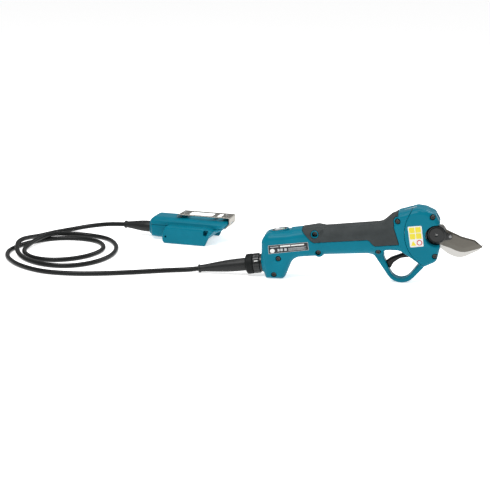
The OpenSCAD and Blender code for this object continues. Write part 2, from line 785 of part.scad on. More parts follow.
module plug_body() {
    color("black") on_gland() difference() {
        union() {
            translate([0, 0, 14.2]) cylinder(r1 = 13.6, r2 = 14.1, h = 1.4, $fn = 64);
            translate([0, 0, 15.6]) cylinder(r = 14.1, h = 6.8, $fn = 64);
            translate([0, 0, 22.4]) cylinder(r1 = 14.1, r2 = 11, h = 2.4, $fn = 64);
            translate([0, 0, 12.2]) cylinder(r = 8.2, h = 3, $fn = 64);
            translate([0, 0, -1]) cylinder(r = 6.2, h = 15, $fn = 64);
        }
        for (a = [0:90:270]) rotate([0, 0, a]) translate([3.2, 0, -2]) cylinder(r = 0.9, h = 8, $fn = 24);
    }
}

// A tapered sleeve about +Z with a collar at its thin end and a bore for the lead
module boot(length, wide, thin) {
    rotate_extrude($fn = 64) polygon([[cord_r + 0.05, 0], [wide, 0], [wide * 0.97, length * 0.3],
        [wide * 0.84, length * 0.48], [wide * 0.68, length * 0.7], [thin, length - 2.6],
        [thin + 1, length - 2.4], [thin + 1, length], [cord_r + 0.05, length]]);
}

boot_from = 24.9;
boot_length = 67.6;
module handle_boot() {
    color("black") on_gland() translate([0, 0, boot_from]) boot(boot_length, 9, 4.8);
}

function spline(p, i, t) =
    let (m = len(p), a = p[max(i - 1, 0)], b = p[i], c = p[i + 1], d = p[min(i + 2, m - 1)])
    0.5 * (2 * b + (c - a) * t + (2 * a - 5 * b + 4 * c - d) * t * t + (3 * b - a - 3 * c + d) * t * t * t);

// A closed tube swept along the route
module swept(route, r, steps, sides) {
    line = concat([for (i = [0:len(route) - 2], k = [0:steps - 1]) spline(route, i, k / steps)],
        [route[len(route) - 1]]);
    m = len(line);
    function along(i) = unit(line[min(i + 1, m - 1)] - line[max(i - 1, 0)]);
    function side(i) = unit(cross(along(i), [0, 0, 1]));
    points = [for (i = [0:m - 1], j = [0:sides - 1])
        let (a = 360 * (j + 0.5) / sides)
        line[i] + r * (side(i) * cos(a) + cross(side(i), along(i)) * sin(a))];
    faces = concat([[for (j = [sides - 1:-1:0]) j]],
        [for (i = [0:m - 2], j = [0:sides - 1]) let (k = (j + 1) % sides)
            [i * sides + j, i * sides + k, (i + 1) * sides + k, (i + 1) * sides + j]],
        [[for (j = [0:sides - 1]) (m - 1) * sides + j]]);
    polyhedron(points = points, faces = faces, convexity = 20);
}

module cord() {
    color("black") swept(cord_route, cord_r, cord_steps, cord_sides);
}

// ---------- Battery adapter, in its own frame: x along it, y across it, z up ----------

upper_pts = [[-29, 4, 3], [-6, 2, 2], [10, 12, 2], [66, 12, 3], [82, 20, 6], [93, 31, 3], [92.4, 35.2, 2],
    [60, 35.2, 10], [-18, 34.2, 4], [-30, 27, 4]];
skirt_pts = [[-5, 0, 5], [62.5, 0, 2], [71, 16, 3], [79, 22, 4], [60, 23.8, 6], [-2, 23.8, 6], [-6, 12, 3]];
body_end = -36;
split_z = 24;       // parting plane of the two casings
floor_z = 14.4;     // inner floor of the lower casing
room_end = 80;      // how far along the casings are hollow
adapter_wall = 2.4;
battery_room = [[3, -31, -1], [80, 31, 11]];    // where the battery's rail slides in, open to +x
hook_screw_x = [19, 86];
hook_half = 14;
hook_top = 41.4;
adapter_screw_at = [[-14, -14], [-14, 14], [64, -15], [64, 15]];
screw_seat = 17.6;  // where the heads of the adapter's screws rest

module adapter_block(d) {
    for (l = [[upper_half, 2.2], [upper_half - 3, 0]])
        across(-(l[0] - d), l[0] - d) polygon(rounded(inset(upper_pts, l[1] + d)));
    translate([body_end + d, -11 + d, 5.5 + d]) cube([12, 22 - 2 * d, 20 - 2 * d]);
}

module adapter_skirt() {
    for (l = [[skirt_half, 1.6], [skirt_half - 2, 0]])
        across(-l[0], l[0]) polygon(rounded(inset(skirt_pts, l[1])));
}

module adapter_room() {
    difference() {
        intersection() {
            adapter_block(adapter_wall);
            translate([room_end - big, -big, floor_z]) cube([big, 2 * big, 100]);
        }
        for (s = adapter_screw_at) translate([s[0], s[1], 0]) cylinder(r = 4.2, h = 60, $fn = 48);
    }
    translate([-40, 0, boot_z]) rotate([0, 90, 0]) cylinder(r = 6.1, h = 24, $fn = 64);
}

module adapter_lower() {
    color("teal") on_adapter() {
        difference() {
            intersection() {
                union() {
                    adapter_block(0);
                    adapter_skirt();
                }
                translate([-big, -big, -1]) cube([2 * big, 2 * big, split_z + 1 - shell_y]);
            }
            adapter_room();
            translate(battery_room[0]) cube(battery_room[1] - battery_room[0]);
            translate([20, -17, 9]) cube([20, 34, 6]);
            for (s = adapter_screw_at) translate([s[0], s[1], -5]) {
                cylinder(r = screw_r + 0.2, h = 36, $fn = 32);
                cylinder(r = 3.8, h = screw_seat + 5, $fn = 48);
            }
            // blind strap holes at the sides
            for (y = [-skirt_half - 1, skirt_half - 9]) translate([64, y, 19])
                rotate([-90, 0, 0]) cylinder(r = 3.6, h = 10, $fn = 48);
        }
        // rails that the battery slides on
        for (y = [-31.1, 28.4]) translate([6, y, 1.6]) cube([54, 2.7, 2.6]);
    }
}

module adapter_upper() {
    color("teal") on_adapter() difference() {
        union() {
            intersection() {
                adapter_block(0);
                translate([-big, -big, split_z + shell_y]) cube([2 * big, 2 * big, big]);
            }
            // bosses under the hook
            for (x = hook_screw_x) translate([x, 0, 33.5])
                cylinder(r = 4.6, h = hook_top - hook_t - 0.05 - 33.5, $fn = 48);
        }
        adapter_room();
        for (s = adapter_screw_at) translate([s[0], s[1], 10])
            cylinder(r = screw_r - 0.1, h = 20.4, $fn = 32);
        for (x = hook_screw_x) translate([x, 0, 30]) cylinder(r = 1.5, h = 12, $fn = 32);
    }
}

hook_pts = [[9.8, 38.3, 0.3], [10.7, 37.1, 0.3], [14.5, 39.9, 1], [93.6, 39.9, 0.4], [93.6, 30.8, 0.3],
    [86.2, 23.3, 0.3], [87.2, 22.2, 0.3], [95.1, 30.2, 1.8], [95.1, 41.4, 1.8], [14, 41.4, 2.5]];
// Bent steel plate with two windows, a sloping tail and a turned-down toe
module adapter_hook() {
    color("lightgray") on_adapter() difference() {
        plate(hook_pts, -hook_half, hook_half);
        translate([28, -hook_half + 3.5, 30]) cube([38, 2 * hook_half - 7, 20]);
        translate([73, -hook_half + 3.5, 38]) cube([7, 2 * hook_half - 7, 20]);
        translate([85, -6, 23]) cube([20, 12, 10]);
        for (x = hook_screw_x) translate([x, 0, 30]) cylinder(r = 1.7, h = 20, $fn = 32);
    }
}

module hook_screws() {
    color("silver") on_adapter() for (x = hook_screw_x) {
        translate([x, 0, 34]) cylinder(r = 1.45, h = hook_top - 34, $fn = 32);
        translate([x, 0, hook_top]) cylinder(r = 3, h = 1.4, $fn = 48);
    }
}

module adapter_screws() {
    color("black") on_adapter() for (s = adapter_screw_at) translate([s[0], s[1], screw_seat - 2.4]) {
        cylinder(r = 3.2, h = 2.35, $fn = 48);
        cylinder(r = screw_r - 0.15, h = 14, $fn = 32);
    }
}

module terminal_block() {
    color("black") on_adapter() difference() {
        translate([14, -16, floor_z + 0.05]) cube([30, 32, 7]);
        for (y = [-11, 0, 11]) translate([20, y - 3, 12]) cube([20, 6, 6]);
    }
}

module adapter_terminals() {
    color("goldenrod") on_adapter() for (y = [-11, 0, 11])
        translate([22, y - 0.5, 6]) cube([16, 1, 11.9]);
}

module adapter_board() {
    color("green") on_adapter() {
        translate([12, -18, 27]) cube([44, 36, 1.6]);
        translate([20, -8, 28.5]) cube([9, 9, 3]);
        translate([38, 2, 28.5]) cylinder(r = 3, h = 3.6, $fn = 32);
    }
}

module adapter_boot() {
    color("black") on_adapter() translate([body_end - 0.05, 0, boot_z]) rotate([0, -90, 0]) {
        boot(42, 8.6, 4.8);
        translate([0, 0, -8]) ring(6, cord_r + 0.05, 0, 8.05);
    }
}

// ---------- Placing in the frame ----------

module placed() {
    translate([hand_x, hand_y, 0]) children();
}

placed() housing_left();
placed() housing_right();
placed() head_cover_left();
placed() head_cover_right();
placed() grip_left();
placed() grip_right();
placed() housing_screws();
placed() cover_screws();
placed() button_panel();
placed() power_button();
placed() indicator_lens();
placed() switch_board();
placed() trigger();
placed() trigger_pin();
placed() trigger_spring();
placed() trigger_sensor();
placed() gear_frame();
placed() pivot_bolt();
placed() pivot_bush();
placed() pivot_nut();
placed() pivot_cap();
placed() cap_screw();
placed() moving_blade();
placed() counter_blade();
placed() counter_screws();
placed() drive_gear();
placed() shaft_bearings();
placed() bevel_pinion();
placed() carrier_bearing();
placed() planet_gear(0);  // planet_gear_1
placed() planet_gear(120);  // planet_gear_2
placed() planet_gear(240);  // planet_gear_3
placed() ring_gear();
placed() motor_can();
placed() motor_rotor();
placed() motor_bearings();
placed() motor_leads();
placed() controller_board();
placed() cord_socket();
placed() socket_seal();
placed() coupling_ring();
placed() plug_body();
placed() handle_boot();
placed() cord();
placed() adapter_boot();
placed() adapter_upper();
placed() adapter_lower();
placed() adapter_hook();
placed() hook_screws();
placed() adapter_screws();
placed() terminal_block();
placed() adapter_terminals();
placed() adapter_board();
placed() rating_label();
placed() head_label();
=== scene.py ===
"""Looks for the battery pruner: moulded casings, rubber grips, ground blades, boots, lead and adapter.

Casings are sculpted as signed-distance fields in millimetres, in the handpiece's own frame (X along it,
Y across it, Z up) or in the adapter's own frame, and meshed by surface nets.
"""

import json
import math

import bmesh
import bpy
import numpy as np
from mathutils import Matrix, Vector


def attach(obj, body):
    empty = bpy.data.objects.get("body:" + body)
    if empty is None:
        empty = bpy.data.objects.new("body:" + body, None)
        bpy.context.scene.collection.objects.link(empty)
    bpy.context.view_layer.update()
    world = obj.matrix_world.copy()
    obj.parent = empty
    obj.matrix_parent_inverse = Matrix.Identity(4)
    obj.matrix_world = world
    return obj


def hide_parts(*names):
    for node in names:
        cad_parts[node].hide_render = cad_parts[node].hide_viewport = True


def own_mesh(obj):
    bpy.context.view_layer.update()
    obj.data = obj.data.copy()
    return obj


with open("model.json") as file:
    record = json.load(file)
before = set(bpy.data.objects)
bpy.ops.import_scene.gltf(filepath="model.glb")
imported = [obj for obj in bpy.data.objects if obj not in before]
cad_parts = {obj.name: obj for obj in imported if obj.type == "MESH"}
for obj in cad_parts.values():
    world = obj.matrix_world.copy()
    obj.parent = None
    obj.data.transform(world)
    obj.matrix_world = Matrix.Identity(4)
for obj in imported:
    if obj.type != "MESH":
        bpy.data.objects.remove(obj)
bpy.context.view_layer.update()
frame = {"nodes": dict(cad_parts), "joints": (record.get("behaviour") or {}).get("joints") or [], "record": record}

MM = 0.001
JOINTS = {j["name"]: j for j in frame["joints"]}

# ---------- Places shared with the CAD source, in mm ----------

PIVOT = (221.5, 70.5)                  # blade pivot in the handpiece's XZ
ORIGIN = Vector(JOINTS["blade_pivot"]["pos_m"]) - Vector((PIVOT[0], 0, PIVOT[1])) * MM
GLAND = (-13.5, 18.8)
GLAND_TILT = 8
PANEL = (8.8, 66.4)
PANEL_TILT = 10
ADAPTER_FOOT = (-179.2, 182.8)
ADAPTER_TURN = -9.2
BODY_END = -36
BOOT_Z = 15
CORD_R = 3.4

HAND = Matrix.Translation(ORIGIN) @ Matrix.Scale(MM, 4)
ON_GLAND = HAND @ Matrix.Translation((GLAND[0], 0, GLAND[1])) @ Matrix.Rotation(
    math.radians(-90 - GLAND_TILT), 4, "Y")
ON_PANEL = HAND @ Matrix.Translation((PANEL[0], 0, PANEL[1])) @ Matrix.Rotation(
    math.radians(-PANEL_TILT), 4, "Y")
ADAPTER = HAND @ Matrix.Translation((*ADAPTER_FOOT, 0)) @ Matrix.Rotation(
    math.radians(ADAPTER_TURN), 4, "Z")
ON_BOOT = ADAPTER @ Matrix.Translation((BODY_END - 0.05, 0, BOOT_Z)) @ Matrix.Rotation(
    math.radians(-90), 4, "Y")

# ---------- Camera ----------

VIEW_AZIMUTH = 9
VIEW_ELEVATION = 15
VIEW_DISTANCE = 1880
VIEW_TARGET = (-39.8, 0, 42.5)


def make_camera():
    """The camera stands where the picture of the tool was taken from, level and with a long lens."""
    a, e = math.radians(VIEW_AZIMUTH), math.radians(VIEW_ELEVATION)
    back = Vector((math.sin(a) * math.cos(e), -math.cos(a) * math.cos(e), math.sin(e)))
    data = bpy.data.cameras.new("camera")
    data.lens = 100
    data.sensor_width = 36
    data.clip_start = 0.05
    data.clip_end = 20
    cam = bpy.data.objects.new("camera", data)
    cam.location = ORIGIN + (Vector(VIEW_TARGET) + back * VIEW_DISTANCE) * MM
    cam.rotation_euler = (-back).to_track_quat("-Z", "Y").to_euler()
    bpy.context.scene.collection.objects.link(cam)
    bpy.context.scene.camera = cam


make_camera()

# ---------- Materials ----------


def base_material(name, color, rough, metallic=0.0, coat=0.0, specular=0.5):
    mat = bpy.data.materials.new(name)
    mat.use_nodes = True
    shader = mat.node_tree.nodes["Principled BSDF"]
    shader.inputs["Base Color"].default_value = (*color, 1)
    shader.inputs["Roughness"].default_value = rough
    shader.inputs["Metallic"].default_value = metallic
    shader.inputs["Coat Weight"].default_value = coat
    shader.inputs["Specular IOR Level"].default_value = specular
    return mat, mat.node_tree, shader


def coordinates(tree, stretch=(1, 1, 1)):
    """Object coordinates, stretched so that grain can run along one axis."""
    coord = tree.nodes.new("ShaderNodeTexCoord")
    mapping = tree.nodes.new("ShaderNodeMapping")
    mapping.inputs["Scale"].default_value = stretch
    tree.links.new(coord.outputs["Object"], mapping.inputs["Vector"])
    return mapping.outputs["Vector"]


def noise(tree, vector, scale, detail=4, rough=0.55):
    node = tree.nodes.new("ShaderNodeTexNoise")
    node.inputs["Scale"].default_value = scale
    node.inputs["Detail"].default_value = detail
    node.inputs["Roughness"].default_value = rough
    tree.links.new(vector, node.inputs["Vector"])
    return node.outputs["Fac"]


def ramp(tree, fac, stops):
    node = tree.nodes.new("ShaderNodeValToRGB")
    tree.links.new(fac, node.inputs["Fac"])
    elements = node.color_ramp.elements
    while len(elements) < len(stops):
        elements.new(0.5)
    for e, (at, color) in zip(elements, stops):
        e.position = at
        e.color = (*color, 1) if len(color) == 3 else color
    return node.outputs["Color"]


def spread(tree, fac, low, high):
    node = tree.nodes.new("ShaderNodeMapRange")
    node.inputs["To Min"].default_value = low
    node.inputs["To Max"].default_value = high
    tree.links.new(fac, node.inputs["Value"])
    return node.outputs["Result"]


def bump(tree, shader, height, strength, distance):
    node = tree.nodes.new("ShaderNodeBump")
    node.inputs["Strength"].default_value = strength
    node.inputs["Distance"].default_value = distance
    tree.links.new(height, node.inputs["Height"])
    tree.links.new(node.outputs["Normal"], shader.inputs["Normal"])


def shade(color, factor):
    return tuple(min(1, c * factor) for c in color)


def moulded(name, color, rough=0.36, grain=2600, depth=0.00004, vary=0.07, coat=0.0, specular=0.1):
    """Moulded plastic: a fine spark-eroded grain and a faint cloudiness of colour."""
    mat, tree, shader = base_material(name, color, rough, coat=coat, specular=specular)
    vec = coordinates(tree)
    cloud = noise(tree, vec, 28, 3)
    tree.links.new(
        ramp(tree, cloud, [(0.3, shade(color, 1 - vary)), (0.7, shade(color, 1 + vary))]),
        shader.inputs["Base Color"])
    fine = noise(tree, vec, grain, 2)
    tree.links.new(spread(tree, fine, rough - 0.05, rough + 0.07), shader.inputs["Roughness"])
    bump(tree, shader, fine, 0.28, depth)
    return mat


def rubber(name, color, rough=0.62, grain=1500, depth=0.00008, specular=0.2):
    """Rubber: cloudy in colour, with a soft dull grain."""
    mat, tree, shader = base_material(name, color, rough, specular=specular)
    vec = coordinates(tree)
    cloud = noise(tree, vec, 45, 5, 0.65)
    tree.links.new(
        ramp(tree, cloud, [(0.3, shade(color, 0.8)), (0.55, color), (0.75, shade(color, 1.3))]),
        shader.inputs["Base Color"])
    fine = noise(tree, vec, grain, 3, 0.6)
    tree.links.new(spread(tree, fine, rough - 0.08, rough + 0.1), shader.inputs["Roughness"])
    bump(tree, shader, fine, 0.45, depth)
    return mat


def metal(name, color, rough=0.3, stretch=(1, 1, 1), scale=900, depth=0.00002, vary=0.1):
    """Ground or brushed metal, its scratches running along the axis that is least stretched."""
    mat, tree, shader = base_material(name, color, rough, metallic=1.0)
    vec = coordinates(tree, stretch)
    lines = noise(tree, vec, scale, 5, 0.6)
    tree.links.new(
        ramp(tree, lines, [(0.25, shade(color, 1 - vary)), (0.75, shade(color, 1 + vary))]),
        shader.inputs["Base Color"])
    tree.links.new(spread(tree, lines, rough - 0.07, rough + 0.1), shader.inputs["Roughness"])
    bump(tree, shader, lines, 0.3, depth)
    return mat


TEAL = (0.0, 0.153, 0.222)
MATS = {
    "teal_casing": moulded("teal_nylon", TEAL, 0.34),
    "soft_rubber": rubber("grip_rubber", (0.036, 0.042, 0.043)),
    "boot_rubber": rubber("boot_rubber", (0.010, 0.011, 0.011), 0.44, 900, 0.00004, 0.3),
    "black_plastic": moulded("black_nylon", (0.006, 0.007, 0.007), 0.28, 1800, specular=0.4),
    "gloss_black": moulded("gloss_black_nylon", (0.005, 0.005, 0.005), 0.2, 1800, 0.00002, coat=0.2),
    "matte_black": moulded("matte_black_nylon", (0.010, 0.011, 0.011), 0.5, 1400),
    "cord_jacket": rubber("cord_jacket", (0.007, 0.008, 0.008), 0.36, 2400, 0.00001, 0.2),
    "black_screw": metal("black_oxide", (0.05, 0.05, 0.048), 0.3, scale=1500),
    "steel": metal("ground_steel", (0.56, 0.56, 0.55), 0.28, scale=1500),
    "dark_steel": metal("dark_steel", (0.22, 0.22, 0.22), 0.3, scale=1500),
    "bronze": metal("sintered_bronze", (0.56, 0.36, 0.15), 0.4),
    "brass": metal("stamped_brass", (0.8, 0.58, 0.25), 0.28),
    "dark_blade": metal("coated_blade", (0.125, 0.117, 0.102), 0.4, (1, 1, 9), 160, 0.00001, 0.09),
    "bright_blade": metal("polished_blade", (0.45, 0.44, 0.42), 0.3, (1, 1, 9), 160, 0.00001, 0.05),
    "cast_frame": metal("cast_aluminium", (0.6, 0.61, 0.62), 0.45, scale=700, depth=0.00006),
    "motor_paint": metal("plated_can", (0.11, 0.12, 0.13), 0.35),
    "board": moulded("solder_mask", (0.015, 0.14, 0.05), 0.3, 1200),
    "lead_wire": moulded("silicone_sleeve", (0.4, 0.02, 0.02), 0.5),
    "hook_steel": metal("plated_sheet", (0.36, 0.345, 0.31), 0.36, (3, 30, 30), 60, 0.00001, 0.06),
    "button_white": moulded("white_button", (0.7, 0.71, 0.72), 0.35, vary=0.03),
    "panel_silver": moulded("silver_film", (0.46, 0.48, 0.49), 0.32, vary=0.04),
    "green_lens": moulded("green_lens", (0.05, 0.5, 0.1), 0.15, coat=0.5),
    "label_dark": moulded("dark_film", (0.035, 0.038, 0.04), 0.35, vary=0.04),
    "label_yellow": moulded("yellow_film", (0.72, 0.62, 0.06), 0.4, vary=0.04),
    "label_white": moulded("white_film", (0.72, 0.72, 0.7), 0.4, vary=0.03),
    "label_red": moulded("red_ink", (0.55, 0.05, 0.07), 0.4, vary=0.04),
}

# ---------- Making pieces ----------


def new_object(name, mesh, body, mat, nodes=()):
    obj = bpy.data.objects.new(name, mesh)
    bpy.context.scene.collection.objects.link(obj)
    mesh.materials.clear()
    mesh.materials.append(MATS[mat])
    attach(obj, body)
    if nodes:
        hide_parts(*nodes)
    return obj


def smooth(mesh, angle=35):
    mesh.shade_smooth()
    bm = bmesh.new()
    bm.from_mesh(mesh)
    limit = math.radians(angle)
    for e in bm.edges:
        if len(e.link_faces) == 2 and e.calc_face_angle(0) > limit:
            e.smooth = False
    bm.to_mesh(mesh)
    bm.free()


def mesh_from(name, verts, faces, matrix, angle=35):
    mesh = bpy.data.meshes.new(name)
    mesh.from_pydata([matrix @ Vector(v) for v in verts], [], faces)
    bm = bmesh.new()
    bm.from_mesh(mesh)
    bmesh.ops.remove_doubles(bm, verts=bm.verts, dist=1e-7)
    bm.to_mesh(mesh)
    bm.free()
    mesh.validate()
    smooth(mesh, angle)
    return mesh


# ---------- Signed-distance fields ----------


def unit(v):
    return v / np.linalg.norm(v)


def rounded(points, steps=7):
    """A closed outline with its corners rounded: each point is (x, z, radius)."""
    out = []
    count = len(points)
    for i in range(count):
        a, b, c = (np.array(points[(i + k) % count][:2], float) for k in (-1, 0, 1))
        r = points[i][2]
        u, v = unit(a - b), unit(c - b)
        if np.linalg.norm(u + v) < 0.01:
            out.append(b)
            continue
        half = math.acos(max(-1, min(1, float(u @ v)))) / 2
        mid = b + unit(u + v) * r / math.sin(half)
        p, q = b + u * r / math.tan(half) - mid, b + v * r / math.tan(half) - mid
        start = math.atan2(p[1], p[0])
        turn = (math.atan2(q[1], q[0]) - start + 3 * math.pi) % (2 * math.pi) - math.pi
        for k in range(steps + 1):
            t = start + turn * k / steps
            out.append(mid + r * np.array([math.cos(t), math.sin(t)]))
    return np.array(out)


class Space:
    """A box of voxels, with one coordinate array per axis that broadcast against each other."""

    def __init__(self, low, high, step):
        self.low, self.step = np.array(low, float), step
        axes = [np.arange(a, b + step, step, dtype=np.float32) for a, b in zip(low, high)]
        self.x = axes[0][:, None, None]
        self.y = axes[1][None, :, None]
        self.z = axes[2][None, None, :]

    def outline(self, points):
        """Distance in XZ to a closed outline, negative inside."""
        return polygon_distance(self.x, self.z, points)

    def rod(self, at, r):
        """Distance to a round bar along Y."""
        return np.hypot(self.x - at[0], self.z - at[1]) - r

    def slab(self, axis, low, high):
        a = (self.x, self.y, self.z)[axis]
        return np.maximum(low - a, a - high)


def polygon_distance(x, z, points, closed=True):
    """Signed distance to a closed outline, or plain distance to an open line."""
    x, z = np.broadcast_arrays(x, z)
    best = np.full(x.shape, 1e9, np.float32)
    inside = np.zeros(x.shape, bool)
    count = len(points)
    for i in range(count if closed else count - 1):
        ax, az = points[i]
        bx, bz = points[(i + 1) % count]
        ex, ez = bx - ax, bz - az
        size = ex * ex + ez * ez
        if size < 1e-12:
            continue
        t = np.clip(((x - ax) * ex + (z - az) * ez) / size, 0, 1)
        dx, dz = x - ax - t * ex, z - az - t * ez
        best = np.minimum(best, dx * dx + dz * dz)
        crosses = ((az > z) != (bz > z)) & (x < (bx - ax) * (z - az) / (bz - az + 1e-12) + ax)
        inside ^= crosses
    d = np.sqrt(best)
    return np.where(inside & closed, -d, d).astype(np.float32)


def crowned(plan, y, half, along, across):
    """An outline given thickness: its edge is a quarter ellipse, along by across in size."""
    q1 = np.maximum(plan + along, 0) / along
    q2 = np.maximum(np.abs(y) - (half - across), 0) / across
    scale = (along + across) / 2
    curve = (np.sqrt(q1 * q1 + q2 * q2) - 1) * scale
    flat = np.maximum(plan, np.abs(y) - half)
    return np.where((q1 > 0) | (q2 > 0), curve, np.maximum(flat, -scale))


def blend_in(a, b, k):
    """Smooth union."""
    h = np.clip(0.5 + 0.5 * (b - a) / k, 0, 1)
    return b + (a - b) * h - k * h * (1 - h)


def blend_cut(a, b, k):
    """Smooth intersection."""
    return -blend_in(-a, -b, k)


def net(field, space):
    """Surface nets: one vertex per cell that the surface crosses, one quad per crossed grid edge."""
    field = np.ascontiguousarray(field, np.float32)
    inside = field < 0
    nx, ny, nz = field.shape
    corners = [(i, j, k) for i in (0, 1) for j in (0, 1) for k in (0, 1)]

    def part(arr, c):
        return arr[c[0]:nx - 1 + c[0], c[1]:ny - 1 + c[1], c[2]:nz - 1 + c[2]]

    total = sum(part(inside, c).astype(np.int8) for c in corners)
    active = (total > 0) & (total < 8)
    cells = np.argwhere(active)
    index = np.full(active.shape, -1, np.int64)
    index[active] = np.arange(len(cells))
    acc = np.zeros((len(cells), 3), np.float64)
    hits = np.zeros(len(cells), np.float64)
    edges = [(a, b) for a in corners for b in corners
             if a < b and sum(abs(p - q) for p, q in zip(a, b)) == 1]
    ci, cj, ck = cells.T
    value = {c: field[ci + c[0], cj + c[1], ck + c[2]] for c in corners}
    for a, b in edges:
        va, vb = value[a], value[b]
        crossed = (va < 0) != (vb < 0)
        t = np.where(crossed, va / np.where(crossed, va - vb, 1), 0)
        for axis in range(3):
            acc[:, axis] += crossed * (a[axis] + t * (b[axis] - a[axis]))
        hits += crossed
    verts = (cells + acc / hits[:, None]) * space.step + space.low
    quads = []
    for axis in range(3):
        o1, o2 = [(1, 2), (2, 0), (0, 1)][axis]
        first = [slice(None)] * 3
        second = [slice(None)] * 3
        first[axis], second[axis] = slice(0, -1), slice(1, None)
        change = inside[tuple(first)] != inside[tuple(second)]
        at = np.argwhere(change)
        keep = (at[:, o1] > 0) & (at[:, o2] > 0)
        for o in (o1, o2):
            keep &= at[:, o] < field.shape[o] - 1
        at = at[keep]
        outward = inside[tuple(first)][tuple(at.T)]

        def cell(d1, d2):
            c = at.copy()
            c[:, o1] -= d1
            c[:, o2] -= d2
            return index[tuple(c.T)]

        ring = np.stack([cell(1, 1), cell(0, 1), cell(0, 0), cell(1, 0)], 1)
        ring[~outward] = ring[~outward][:, ::-1]
        quads.append(ring)
    return verts, np.concatenate(quads)


def relax(verts, quads, rounds=2, amount=0.35):
    """Evens out the stair steps of the net without moving flat faces."""
    pairs = np.concatenate([quads[:, [i, (i + 1) % 4]] for i in range(4)])
    for _ in range(rounds):
        total = np.zeros_like(verts)
        count = np.zeros(len(verts))
        for a, b in ((0, 1), (1, 0)):
            np.add.at(total, pairs[:, a], verts[pairs[:, b]])
            np.add.at(count, pairs[:, a], 1)
        verts = verts + amount * (total / count[:, None] - verts)
    return verts


def sculpt(name, field, space, matrix, body, mat, nodes=(), rounds=2):
    """Meshes a field and makes it a piece."""
    verts, quads = net(field, space)
    verts = relax(verts, quads, rounds)
    rot = np.array(matrix.to_3x3())
    verts = verts @ rot.T + np.array(matrix.translation)
    mesh = bpy.data.meshes.new(name)
    mesh.vertices.add(len(verts))
    mesh.vertices.foreach_set("co", verts.astype(np.float32).ravel())
    mesh.loops.add(len(quads) * 4)
    mesh.loops.foreach_set("vertex_index", quads.astype(np.int32).ravel())
    mesh.polygons.add(len(quads))
    mesh.polygons.foreach_set("loop_start", np.arange(0, len(quads) * 4, 4, dtype=np.int32))
    mesh.update(calc_edges=True)
    mesh.validate()
    mesh.shade_smooth()
    return new_object(name, mesh, body, mat, nodes)


# ---------- Outlines of the handpiece in XZ, as in the CAD source ----------

REAR = [(-9, 0, 3), (16.5, 0, 6), (29, 31, 16), (69.5, 35.3, 2), (70.5, 73.6, 1), (62, 75.3, 6),
        (20, 66.5, 8), (-9.5, 63.5, 11), (-15.5, 52, 9), (-15.5, 20, 14)]
HANDLE = [(24, 33, 1), (138, 40.5, 8), (160, 45, 10), (210, 45, 1), (210, 104, 1), (176, 99.5, 8),
          (162, 95, 10), (149, 83, 16), (24, 69, 1)]
HEAD = [(190, 36, 4), (205, 25, 6), (223, 34, 9), (227, 53, 4), (226, 88, 5), (219.5, 99.5, 6),
        (207, 105, 8), (196, 106.5, 5), (168, 98, 4), (168, 50, 4)]
GUARD = [(130, 42, 1), (138, 38.5, 8), (174, -13.7, 22), (207, 24, 6), (200, 50, 1)]
FINGER = [(172.6, -8.7, 15.5), (200, 28.6, 3.5), (173, 45.6, 12), (152, 46, 4), (152.4, 34.2, 8)]
GRIP = [(40, 80, 1), (40, 70, 2), (56, 54, 8), (94, 57.5, 4), (131, 61, 5), (139, 52.5, 5),
        (173, 56, 1.5), (165, 80, 6), (165, 92, 5), (170, 94, 1), (170, 112, 1)]
SEAM = ((231, 74), 52)
HOUSING_SCREWS = [(9.2, 30.2, 18.5), (3.1, 7, 16.5), (63.5, 40.7, 14), (58.5, 66.1, 13.5),
                  (169.7, 88.5, 18), (144.4, 43.8, 12)]
COVER_SCREWS = [(215.8, 96, 18), (220.5, 42.5, 18)]
NOTCH_R = 14.6
SCREW_HEAD_R = 3.3
WALL = 2.6
STEP = 0.72


